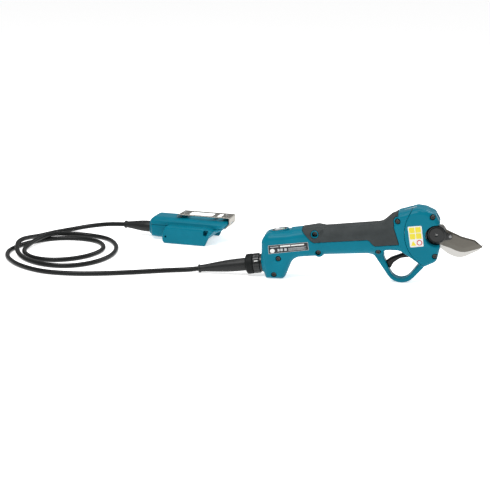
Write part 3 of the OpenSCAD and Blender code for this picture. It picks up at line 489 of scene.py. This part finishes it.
def make_handpiece():
    """Both casing halves, both head covers and both grips, cut from one body."""
    s = Space((-18, -21.6, -1.2), (230, 21.6, 108), STEP)
    rear = crowned(s.outline(rounded(REAR)), s.y, 20, 10, 11)
    handle = crowned(s.outline(rounded(HANDLE)), s.y, 19, 14, 13)
    head = crowned(s.outline(rounded(HEAD)), s.y, 20.5, 6.5, 9)
    guard = crowned(s.outline(rounded(GUARD)), s.y, 8, 2.4, 2.6)
    finger = s.outline(rounded(FINGER))
    body = blend_in(blend_in(rear, handle, 2.4), head, 3)
    body = blend_in(body, guard, 5)
    flare = crowned(finger, s.y, 40, 3, 3)
    body = blend_cut(body, -flare, 2.6)
    body = np.maximum(blend_cut(body, -s.z, 0.8), np.abs(s.y) - np.where(s.x < 100, 20, 20.5))
    lobe = crowned(s.rod((64.5, 40), 6.4), s.y, 17.6, 3, 4)
    body = blend_in(body, lobe, 2)
    # raised seat round the power switch
    u = (s.x - PANEL[0]) * math.cos(math.radians(PANEL_TILT)) + (s.z - PANEL[1]) * math.sin(
        math.radians(PANEL_TILT))
    w = -(s.x - PANEL[0]) * math.sin(math.radians(PANEL_TILT)) + (s.z - PANEL[1]) * math.cos(
        math.radians(PANEL_TILT))
    pill = np.hypot(np.maximum(np.abs(u) - 3, 0), s.y)
    body = blend_in(body, np.maximum(pill - 9.6, np.maximum(w - 1.3, -w - 9)), 1.2)
    # collar round the connector
    c, t = math.cos(math.radians(GLAND_TILT)), math.sin(math.radians(GLAND_TILT))
    along = -(s.x - GLAND[0]) * c - (s.z - GLAND[1]) * t
    off = np.hypot(-(s.x - GLAND[0]) * t + (s.z - GLAND[1]) * c, s.y)
    body = blend_in(body, np.maximum(off - 13.4, np.maximum(along - 1.0, -6 - along)), 3)
    beside = np.maximum(PIVOT[0] + 4 - s.x, np.abs(s.z - PIVOT[1]) - 13)
    notch = np.minimum(s.rod(PIVOT, NOTCH_R), beside) + 0 * s.y
    slot = np.maximum(s.rod(PIVOT, 27.4), np.maximum(-3.8 - s.y, s.y - 4.8))
    for at in COVER_SCREWS:
        slot = np.maximum(slot, -s.rod(at, 4.6))
    outside = blend_cut(body, -notch, 1.6)
    # hollow inside, with bosses left for the screws
    inner = body + WALL
    for at in HOUSING_SCREWS + COVER_SCREWS:
        inner = np.maximum(inner, -s.rod(at, 4.4))
    inner = np.maximum(inner, -(notch - 2.4))
    inner = np.maximum(inner, -(finger - 1.8))
    trigger_room = np.maximum(np.maximum(173 - s.x, s.x - 205), np.maximum(30 - s.z, s.z - 56))
    trigger_room = np.maximum(trigger_room, np.abs(s.y) - 5.6)
    shell = np.maximum(outside, -inner)
    shell = np.maximum(shell, -slot)
    shell = np.maximum(shell, -trigger_room)
    for at in HOUSING_SCREWS + COVER_SCREWS:
        well = np.maximum(s.rod(at, SCREW_HEAD_R + 0.5), s.y + at[2] - 3.6)
        shell = blend_cut(shell, -well, 0.6)
        shell = np.maximum(shell, -s.rod(at, 2.0))
    shell = np.maximum(shell, -np.maximum(off - 9.3, -14 - along))
    shell = np.maximum(shell, -np.maximum(off - 14.6, 1.2 - along))
    shell = np.maximum(shell, -np.maximum(pill - 7.7, -w))
    shell = np.maximum(shell, -np.maximum(pill - 5.5, -8 - w))

    grip_zone = s.outline(rounded(GRIP))
    boss = s.rod(HOUSING_SCREWS[3], 5.1)
    boss = np.minimum(boss, s.rod(HOUSING_SCREWS[4], 5.6))
    grip_zone = np.maximum(grip_zone, -boss)
    seam = s.rod(SEAM[0], SEAM[1])
    skin = -(body + 1.6)
    grip_cut = np.maximum(np.maximum(grip_zone, skin), -seam - 0.2)
    housing = blend_cut(np.maximum(shell, -grip_cut), -seam + 0.12, 0.5)
    grip = blend_cut(np.maximum(body - 0.15, skin), grip_zone + 0.25, 1.0)
    grip = np.maximum(grip, -seam + 0.3)
    for at in HOUSING_SCREWS:
        grip = np.maximum(grip, -s.rod(at, SCREW_HEAD_R + 0.5))
    cover = blend_cut(shell, seam + 0.12, 0.5)
    for side, name in ((-1, "left"), (1, "right")):
        trim = 0.08 - side * s.y
        for field, label, mat, k in ((housing, "housing", "teal_casing", 0.7),
                                     (cover, "head_cover", "teal_casing", 0.7),
                                     (grip, "grip", "soft_rubber", 0.4)):
            sculpt(f"{label}_{name}_shell", blend_cut(field, trim, k), s, HAND, "handpiece",
                   mat, (f"{label}_{name}",))


make_handpiece()

# ---------- Turned pieces ----------


def turned_mesh(name, profile, matrix, closed=True, sides=96, wave=None, angle=35):
    """A profile of (radius, height) turned about +Z; wave(angle, radius, height) scales the radius."""
    verts, faces = [], []
    n = len(profile)
    for i in range(sides):
        a = 2 * math.pi * i / sides
        for r, h in profile:
            k = wave(a, r, h) if wave else 1
            verts.append((r * k * math.cos(a), r * k * math.sin(a), h))
    for i in range(sides):
        j = (i + 1) % sides
        for k in range(n if closed else n - 1):
            m = (k + 1) % n
            faces.append((i * n + k, j * n + k, j * n + m, i * n + m))
    return mesh_from(name, verts, faces, matrix, angle)


def turned(name, profile, matrix, body, slot, mat, nodes=(), **how):
    return new_object(name, turned_mesh(name, profile, matrix, **how), body, mat, nodes)


def joined(name, meshes, body, mat, nodes=()):
    """Several meshes made into one piece."""
    bm = bmesh.new()
    for m in meshes:
        bm.from_mesh(m)
    mesh = bpy.data.meshes.new(name)
    bm.to_mesh(mesh)
    bm.free()
    for m in meshes:
        bpy.data.meshes.remove(m)
    return new_object(name, mesh, body, mat, nodes)


def softened(points, r=0.4, steps=3):
    """A closed profile with small radii on its corners."""
    return [tuple(p) for p in rounded([(*p, r) for p in points], steps)]


def boot_profile(length, wide, thin):
    """A tapering sleeve round the lead, with a small bead at its end."""
    bore = CORD_R + 0.05
    taper = [(wide * across, length * along) for across, along in
             ((0.985, 0.2), (0.93, 0.38), (0.84, 0.52), (0.72, 0.68))]
    return softened([(bore, 0), (wide, 0), *taper, (thin * 1.1, length * 0.85), (thin, length - 2.8),
                     (thin + 1, length - 2.4), (thin + 1, length), (bore, length)], 0.35)


def make_connector():
    ring_teeth = 12

    def flutes(a, r, h):
        if r < 13 or not 3.2 < h < 12.6:
            return 1
        return 1 - 0.03 * (0.5 + 0.5 * math.cos(ring_teeth * a)) ** 3

    wall = [(13.9, h) for h in (5.2, 6.3, 7.6, 9.0, 10.4, 11.8, 12.9)]
    ring = softened([(9.9, 4.5), (13.4, 4.5), *wall, (13.3, 13.7), (8.6, 13.7), (8.6, 12.7),
                     (9.9, 12.7)], 0.2)
    turned("coupling_ring_turned", ring, ON_GLAND, "coupling_nut", "black_plastic", "black_plastic",
           ("coupling_ring",), sides=144, wave=flutes)
    # painted highlight: a white strip on the ring's flat that faces the camera stands in for light reflected off
    # that flat
    highlight_profile = [(13.2, 6.4), (14.0, 6.4), (14.0, 11.0), (13.2, 11.0)]
    wedge = [(r * math.cos(a), r * math.sin(a), h) for a in (-1.15, -1.05) for r, h in highlight_profile]
    faces = [(0, 1, 2, 3), (7, 6, 5, 4)] + [(i, i + 4, (i + 1) % 4 + 4, (i + 1) % 4) for i in range(4)]
    new_object("coupling_painted_highlight", mesh_from("coupling_painted_highlight", wedge, faces, ON_GLAND), "coupling_nut",
               "label_white")
    plug = softened([(5.2, -0.8), (6.1, -0.8), (6.1, 12.6), (8.1, 12.6), (8.1, 14.2), (13.5, 14.2),
                     (14.0, 15.4), (14.0, 22.4), (13.2, 23.4), (10.9, 24.75), (5.2, 24.75)], 0.4)
    turned("plug_turned", plug, ON_GLAND, "handpiece", "black_plastic", "matte_black", ("plug_body",))
    boot = [(r, h + 24.9) for r, h in boot_profile(67.6, 9, 4.8)]
    turned("handle_boot_turned", boot, ON_GLAND, "handpiece", "soft_rubber", "boot_rubber",
           ("handle_boot",))
    boot = boot_profile(44, 8.6, 4.8)
    turned("adapter_boot_turned", boot, ON_BOOT, "handpiece", "soft_rubber", "boot_rubber",
           ("adapter_boot",))


make_connector()

# ---------- Screws ----------

HOOK_SCREW_X = (19, 86)                # in the adapter's frame
CAP_LUG = (240, 67.8)                  # the screw that joins the pivot cap to the moving blade


def facing(at, matrix=HAND):
    """A frame at (x, z) on the middle plane whose +Z looks out at the near side."""
    return matrix @ Matrix.Translation((at[0], 0, at[1])) @ Matrix.Rotation(math.radians(90), 4, "X")


def screw_mesh(top, head_r, head_h, shank_r, foot, matrix, socket=1.35, sink=1.7):
    """A pan-head screw with a six-lobed socket; its head's top is at height top."""
    shank = [(0, foot), (shank_r * 0.8, foot), (shank_r, foot + 0.5), (shank_r, top - head_h)]
    head = [(head_r, top - head_h), (head_r, top - head_h * 0.45), (head_r * 0.95, top - head_h * 0.2),
            (head_r * 0.8, top - 0.05)]
    recess = [(socket * 1.12, top), (socket, top - 0.15), (socket, top - sink), (0, top - sink)]

    def lobes(a, r, h):
        return 1 + 0.13 * math.cos(6 * a) if r <= socket and h > top - sink - 0.01 and r > 0 else 1

    return turned_mesh("screw", shank + head + recess, matrix, closed=False, sides=48, wave=lobes, angle=30)


def make_screws():
    for name, places in (("housing_screws", HOUSING_SCREWS), ("cover_screws", COVER_SCREWS)):
        meshes = [screw_mesh(d, SCREW_HEAD_R, 3, 1.8, -10, facing((x, z))) for x, z, d in places]
        joined(name + "_turned", meshes, "handpiece", "black_screw", (name,))
    meshes = [screw_mesh(42.8, 3, 1.4, 1.45, 34, ADAPTER @ Matrix.Translation((x, 0, 0)), 1.2, 0.9)
              for x in HOOK_SCREW_X]
    joined("hook_screws_turned", meshes, "handpiece", "steel", ("hook_screws",))
    centre = [(0, 9.06), (1.3, 9.06), (1.3, 11.2), (1.1, 11.5), (0.6, 11.45), (0, 11.3)]
    lug = screw_mesh(7.6, 2.2, 1.15, 1.25, 3.25, facing(CAP_LUG), 0.9, 0.7)
    joined("cap_screw_turned", [turned_mesh("centre", centre, facing(PIVOT), closed=False, sides=48), lug],
           "blade_unit", "dark_steel", ("cap_screw",))


make_screws()

# ---------- Trigger, blades and pivot cap ----------

TRIGGER = [(160.6, 17.8, 1.6), (165, 27, 5), (174, 33.8, 12), (190, 36.6, 6), (207, 41.5, 6),
           (207, 52.5, 6), (196, 53, 4), (191.5, 45.4, 4), (178, 41, 14), (161, 34, 9), (154.4, 28.8, 2)]
BLADE = [(222, 58, 2), (230.5, 53.2, 3), (240, 50.4, 12), (256, 43.5, 26), (284.5, 52.8, 0.4),
         (273, 62.6, 3), (255, 67, 20), (236, 75.4, 8), (222, 83, 3)]
COUNTER = [(208, 48.4, 3), (226.2, 48.4, 1), (227.4, 49.6, 1), (237, 42.2, 6), (253, 35, 22),
           (279, 48.5, 6), (286.3, 58, 0.5), (276, 50.8, 8), (257, 48, 24), (240, 57, 8), (236.5, 72, 6),
           (231, 82, 6), (218, 82, 5), (214, 60, 5)]
CAP_PLATE = [(229, 61, 2), (242.5, 63.4, 4), (242.8, 70.6, 4), (231, 72.4, 1)]
TRIGGER_PIN = (201, 47)
SPRING_X = 188.5
SECTOR_EDGES = (114, 196)              # directions of the toothed sector's two sides, in degrees
SECTOR_TEETH = 40                      # teeth in a full turn
FINE = 0.34


def make_trigger():
    s = Space((155, -5.6, 18.5), (208, 5.6, 54), FINE)
    body = crowned(s.outline(rounded(TRIGGER)), s.y, 4.8, 2.2, 2.6)
    body = np.maximum(body, -s.rod(TRIGGER_PIN, 2.06))
    body = np.maximum(body, -np.maximum(np.hypot(s.x - SPRING_X, s.y) - 2.9, np.abs(s.z - 46) - 3.4))
    sculpt("trigger_moulded", body, s, HAND, "trigger_body", "gloss_black",
           ("trigger",))


def corner_run(points, first, last):
    """The rounded outline from one numbered corner to another."""
    return rounded(points)[8 * first:8 * (last + 1)]


def make_blades():
    s = Space((195, -3.8, 42), (287, 0.6, 97), FINE)
    plan = np.minimum(s.outline(rounded(BLADE)), s.rod(PIVOT, 12.5))
    a = np.arctan2(s.z - PIVOT[1], s.x - PIVOT[0])
    teeth = s.rod(PIVOT, 23.8) - 1.05 * np.clip(1.9 * np.cos(SECTOR_TEETH * a), -1, 1)
    first, last = (math.radians(d) for d in SECTOR_EDGES)
    across, up = s.x - PIVOT[0], s.z - PIVOT[1]
    wedge = np.minimum(-math.sin(first) * across + math.cos(first) * up,
                       math.sin(last) * across - math.cos(last) * up)
    plan = np.minimum(plan, np.maximum(teeth, -wedge))
    edge = polygon_distance(s.x, s.z, corner_run(BLADE, 1, 4), closed=False)
    spine = polygon_distance(s.x, s.z, corner_run(BLADE, 4, 7), closed=False)
    face = -3.2 + np.maximum(0, 6.5 - edge) * 0.38 + np.maximum(0, 1.6 - spine) * 0.5 - s.y
    blade = np.maximum(np.maximum(plan, s.y + 0.1), face)
    blade = np.maximum(blade, -s.rod(PIVOT, 5.05))
    sculpt("moving_blade_ground", blade, s, HAND, "blade_unit", "dark_blade",
           ("moving_blade",), rounds=1)

    s = Space((207, -0.4, 34), (288, 4.5, 84), FINE)
    plan = np.minimum(s.outline(rounded(COUNTER)), s.rod(PIVOT, 12.5))
    edge = polygon_distance(s.x, s.z, corner_run(COUNTER, 6, 9), closed=False)
    face = s.y - 4 + np.maximum(0, 4.2 - edge) * 0.5
    blade = np.maximum(np.maximum(plan, 0.1 - s.y), face)
    blade = np.maximum(blade, -s.rod(PIVOT, 4.05))
    for at in ((212, 52.5), (219.5, 52.8)):
        blade = np.maximum(blade, -s.rod(at, 1.6))
    sculpt("counter_blade_ground", blade, s, HAND, "handpiece", "bright_blade",
           ("counter_blade",), rounds=1)


def make_cap():
    s = Space((207.5, -13, 56.5), (244.5, -2.7, 84.5), FINE)
    disc = crowned(s.rod(PIVOT, 13) + 0 * s.y, s.y + 7.4, 4.1, 1.4, 1.4)
    crown = crowned(s.rod(PIVOT, 12) + 0 * s.y, s.y + 7.8, 4.5, 1.6, 1.0)
    lug = crowned(s.outline(rounded(CAP_PLATE)), s.y + 4.83, 1.57, 0.8, 0.8)
    cap = blend_in(np.minimum(disc, crown), lug, 1.2)
    cap = np.maximum(cap, 0.7 - np.hypot(s.rod(PIVOT, 10.6), s.y + 12.3))
    cap = np.maximum(cap, s.y + 3.25)
    for at, r, low, high in ((PIVOT, 8.1, -8.5, 0), (PIVOT, 4.3, -9.4, 0), (PIVOT, 1.9, -14, -9),
                             (CAP_LUG, 1.3, -10, 0)):
        cap = np.maximum(cap, -np.maximum(s.rod(at, r), s.slab(1, low, high)))
    sculpt("pivot_cap_moulded", cap, s, HAND, "blade_unit", "black_plastic",
           ("pivot_cap",))


def make_spring():
    """The trigger's coil spring, wound as a fixed helix at rest; the spring shortens towards its upper end as the
    trigger is pulled.
    """
    turns, per_turn, sides = 5, 24, 10
    r, wire, foot, height = 2.1, 0.35, 42.95, 10.9
    steps = turns * per_turn
    verts, faces = [], []
    for i in range(steps + 1):
        a = 2 * math.pi * i / per_turn
        for j in range(sides):
            b = 2 * math.pi * j / sides
            out = r + wire * math.cos(b)
            rise = wire + (height - 2 * wire) * i / steps + wire * math.sin(b)
            verts.append((SPRING_X + out * math.cos(a), out * math.sin(a), foot + rise))
    for i in range(steps):
        for j in range(sides):
            k = (j + 1) % sides
            faces.append((i * sides + j, (i + 1) * sides + j, (i + 1) * sides + k, i * sides + k))
    faces += [tuple(range(sides)), tuple(range(len(verts) - 1, len(verts) - sides - 1, -1))]
    mesh = mesh_from("trigger_spring_wound", verts, faces, HAND)
    obj = new_object("trigger_spring_wound", mesh, "handpiece", "steel", ("trigger_spring",))
    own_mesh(obj)


make_trigger()
make_spring()
make_blades()
make_cap()

# ---------- Power switch ----------


def make_switch():
    s = Space((-11.2, -8.2, -0.5), (11.2, 8.2, 1.8), 0.25)
    pill = np.hypot(np.maximum(np.abs(s.x) - 3, 0), s.y)
    panel = crowned(pill - 7.6 + 0 * s.z, s.z - 0.65, 0.6, 0.5, 0.5)
    panel = np.maximum(panel, 3.6 - np.hypot(s.x + 3, s.y))
    panel = np.maximum(panel, 1.15 - np.hypot(s.x - 5, s.y))
    sculpt("button_panel_moulded", panel, s, ON_PANEL, "handpiece", "panel_silver",
           ("button_panel",))
    rim = np.maximum(np.abs(pill - 5.9) - 1.55 + 0 * s.z, np.abs(s.z - 1.1) - 0.25)
    rim = np.maximum(rim, 4.1 - np.hypot(s.x + 3, s.y))
    sculpt("button_panel_rim", rim, s, ON_PANEL, "handpiece", "black_plastic")
    at = ON_PANEL @ Matrix.Translation((-3, 0, 0))
    key = [(0, -1.6), (4.2, -1.6), (4.2, -0.6), (3.3, -0.6), (3.3, 1.7), (3.2, 2.0), (2.9, 2.2),
           (2.2, 2.2), (2.1, 2.05), (1.6, 2.05), (1.5, 2.2), (0.8, 2.12), (0, 2.1)]
    turned("power_button_turned", key, at, "button_body", "button_white", "button_white", ("power_button",),
           closed=False)
    at = ON_PANEL @ Matrix.Translation((5, 0, 0))
    turned("indicator_lens_turned", [(0, -1), (1.1, -1), (1.1, 1.2), (0.8, 1.42), (0, 1.5)], at, "handpiece",
           "green_lens", "green_lens", ("indicator_lens",), closed=False)


make_switch()

# ---------- Labels: plain films with nothing written on them ----------


def film(name, corners, shape, front, back, mat, nodes=()):
    """A thin sheet standing in XZ; shape is in the unit square that corners stretch."""
    a, b, c, d = (np.array(p, float) for p in corners)
    verts = []
    for y in (front, back):
        for u, v in shape:
            p = (a * (1 - u) + b * u) * (1 - v) + (d * (1 - u) + c * u) * v
            verts.append((p[0], y, p[1]))
    n = len(shape)
    faces = [tuple(range(n)), tuple(range(2 * n - 1, n - 1, -1))]
    faces += [(i, n + i, n + (i + 1) % n, (i + 1) % n) for i in range(n)]
    mesh = mesh_from(name, verts, faces, HAND)
    return new_object(name, mesh, "handpiece", mat, nodes)


def block(u0, v0, u1, v1, r=0.03):
    return rounded([(u0, v0, r), (u1, v0, r), (u1, v1, r), (u0, v1, r)], 4)


def disc(u, v, ru, rv):
    turn = np.linspace(0, 2 * math.pi, 40, False)
    return [(u + ru * math.cos(t), v + rv * math.sin(t)) for t in turn]


RATING = [(-4, 36.6), (51, 44.5), (49.5, 55.6), (-5, 48.4)]
HEAD_LABEL = [(187.5, 54), (205.4, 56.4), (201.5, 84.6), (183, 82.4)]


def make_labels():
    film("rating_film", RATING, block(0, 0, 1, 1, 0.02), -20.25, -20.01, "panel_silver",
         ("rating_label",))
    film("rating_field", RATING, block(0.008, 0.035, 0.992, 0.965, 0.015), -20.27, -20.2,
         "label_dark")
    bright = [(0.30, 0.68, 0.56, 0.86), (0.575, 0.68, 0.90, 0.84)]
    faint = [(0.05, 0.72, 0.26, 0.80), (0.23, 0.20, 0.28, 0.50), (0.30, 0.20, 0.36, 0.50),
             (0.40, 0.20, 0.46, 0.50), (0.50, 0.42, 0.94, 0.48), (0.50, 0.29, 0.90, 0.34),
             (0.50, 0.16, 0.94, 0.21)]
    for i, b in enumerate(bright + faint):
        film(f"rating_bar_{i}", RATING, block(*b, 0.006), -20.29, -20.25,
             "label_white" if b in bright else "panel_silver")
    film("rating_dot", RATING, disc(0.1, 0.32, 0.06, 0.25), -20.29, -20.25, "label_white")
    film("head_film", HEAD_LABEL, block(0, 0, 1, 1, 0.06), -20.75, -20.51, "label_white",
         ("head_label",))
    for i, (u, v) in enumerate(((0.07, 0.68), (0.52, 0.68), (0.07, 0.38), (0.52, 0.38))):
        film(f"head_field_{i}", HEAD_LABEL, block(u, v, u + 0.4, v + 0.27, 0.03), -20.78, -20.7,
             "label_yellow")
    film("head_wedge", HEAD_LABEL, [(0.08, 0.07), (0.46, 0.07), (0.27, 0.31)], -20.78, -20.7,
         "label_yellow")
    film("head_ring", HEAD_LABEL, disc(0.72, 0.19, 0.21, 0.135), -20.78, -20.7,
         "label_red")
    film("head_disc", HEAD_LABEL, disc(0.72, 0.19, 0.145, 0.093), -20.8, -20.7,
         "label_white")
    # a narrow inlay along the head's sloping top
    (top_x, top_z, _), (foot_x, foot_z, _) = HEAD[7:9]
    slope = (top_z - foot_z) / (top_x - foot_x)
    for name, x0, x1, half, lift, mat in (("head_inlay_edge", 170.5, 194.5, 1.9, 0.0, "black_plastic"),
                                          ("head_inlay", 171.2, 193.8, 1.3, 0.1, "panel_silver")):
        ends = [(x, foot_z + (x - foot_x) * slope - 0.1 + lift) for x in (x0, x1)]
        verts = [(x, y, z + h) for x, z in ends for y in (-half, half) for h in (0, -0.6)]
        faces = [(0, 1, 3, 2), (4, 6, 7, 5), (0, 4, 5, 1), (2, 3, 7, 6), (0, 2, 6, 4), (1, 5, 7, 3)]
        new_object(name, mesh_from(name, verts, faces, HAND), "handpiece", mat)


make_labels()

# ---------- Adapter ----------

UPPER = [(-31, 4, 3), (-6, 2, 2), (10, 12, 2), (66, 12, 3), (82, 20, 6), (93, 31, 3), (92.4, 35.2, 2),
         (60, 35.2, 10), (-26, 35.4, 5), (-33, 30, 5)]
SKIRT = [(-5, 0, 5), (62.5, 0, 2), (70, 16, 3), (79, 23, 3), (60, 27, 8), (0, 26.6, 7), (-6, 13, 4)]
HOOK = [(9.8, 38.3, 0.3), (10.7, 37.1, 0.3), (14.5, 39.9, 1), (93.6, 39.9, 0.4), (93.6, 30.8, 0.3),
        (86.2, 23.3, 0.3), (87.2, 22.2, 0.3), (95.1, 30.2, 1.8), (95.1, 41.4, 1.8), (14, 41.4, 2.5)]
ADAPTER_SCREWS = [(-14, -14), (-14, 14), (64, -15), (64, 15)]
SPLIT_Z = 24


def block_field(s, low, high, r):
    """A box with rounded edges."""
    mid, half = (np.array(low) + high) / 2, (np.array(high) - low) / 2 - r
    deep = [np.abs(c - m) - h for c, m, h in zip((s.x, s.y, s.z), mid, half)]
    out = [np.maximum(d, 0) for d in deep]
    core = np.minimum(np.maximum(np.maximum(deep[0], deep[1]), deep[2]), 0)
    return np.sqrt(out[0] ** 2 + out[1] ** 2 + out[2] ** 2) + core - r


def make_adapter():
    s = Space((-38, -38.4, -1.2), (97, 38.4, 41), STEP)
    upper = crowned(s.outline(rounded(UPPER)), s.y, 22, 7, 13)
    skirt = crowned(s.outline(rounded(SKIRT)), s.y, 37, 3.2, 3.4)
    body = blend_in(upper, skirt, 2)
    body = blend_in(body, block_field(s, (-36, -11, 5.5), (-20, 11, 27.5), 3), 2.5)
    room = np.maximum(np.maximum(upper + 2.4, 14.4 - s.z), s.x - 80)
    for at in ADAPTER_SCREWS:
        room = np.maximum(room, 4.2 - np.hypot(s.x - at[0], s.y - at[1]))
    shell = np.maximum(body, -room)
    shell = np.maximum(shell, -np.maximum(np.hypot(s.y, s.z - BOOT_Z) - 6.1, s.x + 16))
    bosses = [np.maximum(np.hypot(s.x - x, s.y) - 4.6, s.slab(2, 33.5, 39.85)) for x in HOOK_SCREW_X]
    lid = np.maximum(np.minimum(shell, np.minimum(*bosses)), SPLIT_Z + 0.1 - s.z)
    lid = np.maximum(lid, np.abs(s.y) - 23)
    sculpt("adapter_upper_shell", lid, s, ADAPTER, "handpiece", "teal_casing",
           ("adapter_upper",))
    tray = np.maximum(shell, s.z - np.where(np.abs(s.y) < 23.2, SPLIT_Z - 0.1, 40))
    tray = np.maximum(tray, -block_field(s, (3, -31, -9), (90, 31, 11), 0.6))
    window = np.maximum(np.maximum(s.slab(0, 20, 40), s.slab(1, -17, 17)), s.slab(2, 9, 15))
    tray = np.maximum(tray, -window)
    for at in ADAPTER_SCREWS:
        off = np.hypot(s.x - at[0], s.y - at[1])
        tray = np.maximum(tray, 2 - off)
        tray = np.maximum(tray, -np.maximum(off - 3.8, s.z - 17.6))
    eye = s.outline(rounded([(60.6, 16.6, 2.2), (65.4, 15.6, 2.2), (69.2, 24.6, 1.4),
                             (61.4, 24.8, 2.6)]))
    tray = np.maximum(tray, -np.maximum(eye, 28.5 - np.abs(s.y)))
    tray = np.maximum(tray, -np.maximum(s.rod((0.5, 11), 1.6), s.y + 33))
    rail = [np.maximum(np.maximum(s.slab(0, 6, 60), s.slab(1, a, a + 2.7)), s.slab(2, 1.6, 4.2))
            for a in (-31.1, 28.4)]
    tray = np.minimum(tray, np.minimum(*rail))
    sculpt("adapter_lower_shell", tray, s, ADAPTER, "handpiece", "teal_casing",
           ("adapter_lower",))

    s = Space((9, -14.8, 21.4), (96, 14.8, 42.2), 0.4)
    plate = crowned(s.outline(rounded(HOOK)), s.y, 14, 0.5, 0.7)
    for x0, x1, low in ((28, 66, 38), (73, 80, 38)):
        plate = np.maximum(plate, -block_field(s, (x0, -10.5, low), (x1, 10.5, 60), 2))
    plate = np.maximum(plate, -block_field(s, (85, -6, 12), (110, 6, 33), 2))
    for x in HOOK_SCREW_X:
        plate = np.maximum(plate, -np.maximum(np.hypot(s.x - x, s.y) - 1.7, 30 - s.z))
    sculpt("adapter_hook_pressed", plate, s, ADAPTER, "handpiece", "hook_steel",
           ("adapter_hook",), rounds=1)


make_adapter()

# ---------- Lead ----------

CORD_ROUTE = [
    (-105.1, 0, 5.9), (-123, 0, 3.6), (-145, -6, 3.4), (-170, -15, 3.4), (-197, -25, 3.4),
    (-237, -37, 3.4), (-277, -43, 3.4), (-320, -38, 3.4), (-360, -14, 3.4), (-388, 20, 3.4),
    (-399, 52, 3.4), (-397, 78, 3.4), (-386, 105, 3.4), (-366, 129, 3.4), (-342, 141, 3.4),
    (-314, 142, 3.4), (-287, 131, 3.4), (-271, 108, 3.4), (-267, 80, 3.4), (-278, 50, 3.4),
    (-299, 29, 3.4), (-325, 20, 3.4), (-350, 26, 3.4), (-369, 44, 3.4), (-379, 66, 3.6),
    (-379, 90, 5.5), (-371, 115, 9), (-357, 136, 10.4), (-333, 155, 7), (-302, 161, 3.8),
    (-272, 145, 3.4), (-251, 108, 3.4), (-245, 64, 3.4), (-255, 27, 3.4), (-276, 2, 3.4),
    (-303, -8, 3.4), (-335, -1, 3.4), (-364, 21, 3.4), (-384, 50, 5.5), (-393, 78, 9.6),
    (-393, 98, 10.4), (-389, 120, 8), (-380, 148, 4.2), (-364, 175, 3.4), (-342, 193, 4.6),
    (-316, 201, 8.4), (-287, 200.3, 12.6), (-256.3, 195.3, 15)]


def spline(points, steps):
    """Points along a smooth curve through the route."""
    p = [np.array(q, float) for q in points]
    out = []
    for i in range(len(p) - 1):
        a, b, c, d = p[max(i - 1, 0)], p[i], p[i + 1], p[min(i + 2, len(p) - 1)]
        for k in range(steps):
            t = k / steps
            out.append(0.5 * (2 * b + (c - a) * t + (2 * a - 5 * b + 4 * c - d) * t * t
                              + (3 * b - a - 3 * c + d) * t ** 3))
    out.append(p[-1])
    return out


def make_cord():
    line = [HAND @ Vector(p) for p in spline(CORD_ROUTE, 8)]
    data = bpy.data.curves.new("lead", "CURVE")
    data.dimensions = "3D"
    data.bevel_depth = CORD_R * MM
    data.bevel_resolution = 6
    data.use_fill_caps = True
    strand = data.splines.new("POLY")
    strand.points.add(len(line) - 1)
    for point, at in zip(strand.points, line):
        point.co = (*at, 1)
    strand.use_smooth = True
    obj = bpy.data.objects.new("lead", data)
    bpy.context.scene.collection.objects.link(obj)
    data.materials.append(MATS["cord_jacket"])
    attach(obj, "handpiece")
    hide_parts("cord")


make_cord()

# ---------- Carried-over CAD nodes ----------


def finish_nodes():
    slots = {s["node"]: s["material_slot"] for s in frame["record"]["subparts"]}
    for name, obj in frame["nodes"].items():
        mat = MATS[slots[name]]
        if not obj.material_slots:
            obj.data.materials.append(mat)
        for holder in obj.material_slots:
            holder.material = mat


finish_nodes()

# ---------- Floor and light ----------


def make_stage():
    mesh = bpy.data.meshes.new("floor")
    size = 40
    corners = [(-size, -size, 0), (size, -size, 0), (size, size, 0), (-size, size, 0)]
    mesh.from_pydata(corners, [], [(0, 1, 2, 3)])
    floor = bpy.data.objects.new("floor", mesh)
    bpy.context.scene.collection.objects.link(floor)
    mat, _, shader = base_material("floor_white", (0.9, 0.9, 0.9), 0.7, specular=0.2)
    shader.inputs["Emission Color"].default_value = (1, 1, 1, 1)
    shader.inputs["Emission Strength"].default_value = 0.62
    mesh.materials.append(mat)
    world = bpy.data.worlds.new("studio")
    world.use_nodes = True
    world.node_tree.nodes["Background"].inputs["Color"].default_value = (1, 1, 1, 1)
    world.node_tree.nodes["Background"].inputs["Strength"].default_value = 0.38
    bpy.context.scene.world = world
    bpy.context.scene.view_settings.view_transform = "Standard"


def area_light(name, at, target, size, power):
    data = bpy.data.lights.new(name, "AREA")
    data.shape = "RECTANGLE"
    data.size, data.size_y = size
    data.energy = power
    light = bpy.data.objects.new(name, data)
    light.location = at
    light.rotation_euler = (Vector(target) - Vector(at)).to_track_quat("-Z", "Y").to_euler()
    bpy.context.scene.collection.objects.link(light)


make_stage()
area_light("key_light", (-0.5, -0.9, 1.5), (0, 0, 0.05), (0.8, 0.5), 17)
area_light("rim_light", (0.9, 1.0, 1.1), (0, 0, 0.05), (0.9, 0.6), 8)
area_light("top_light", (0.0, 0.1, 1.7), (0, 0, 0), (1.2, 0.5), 11)
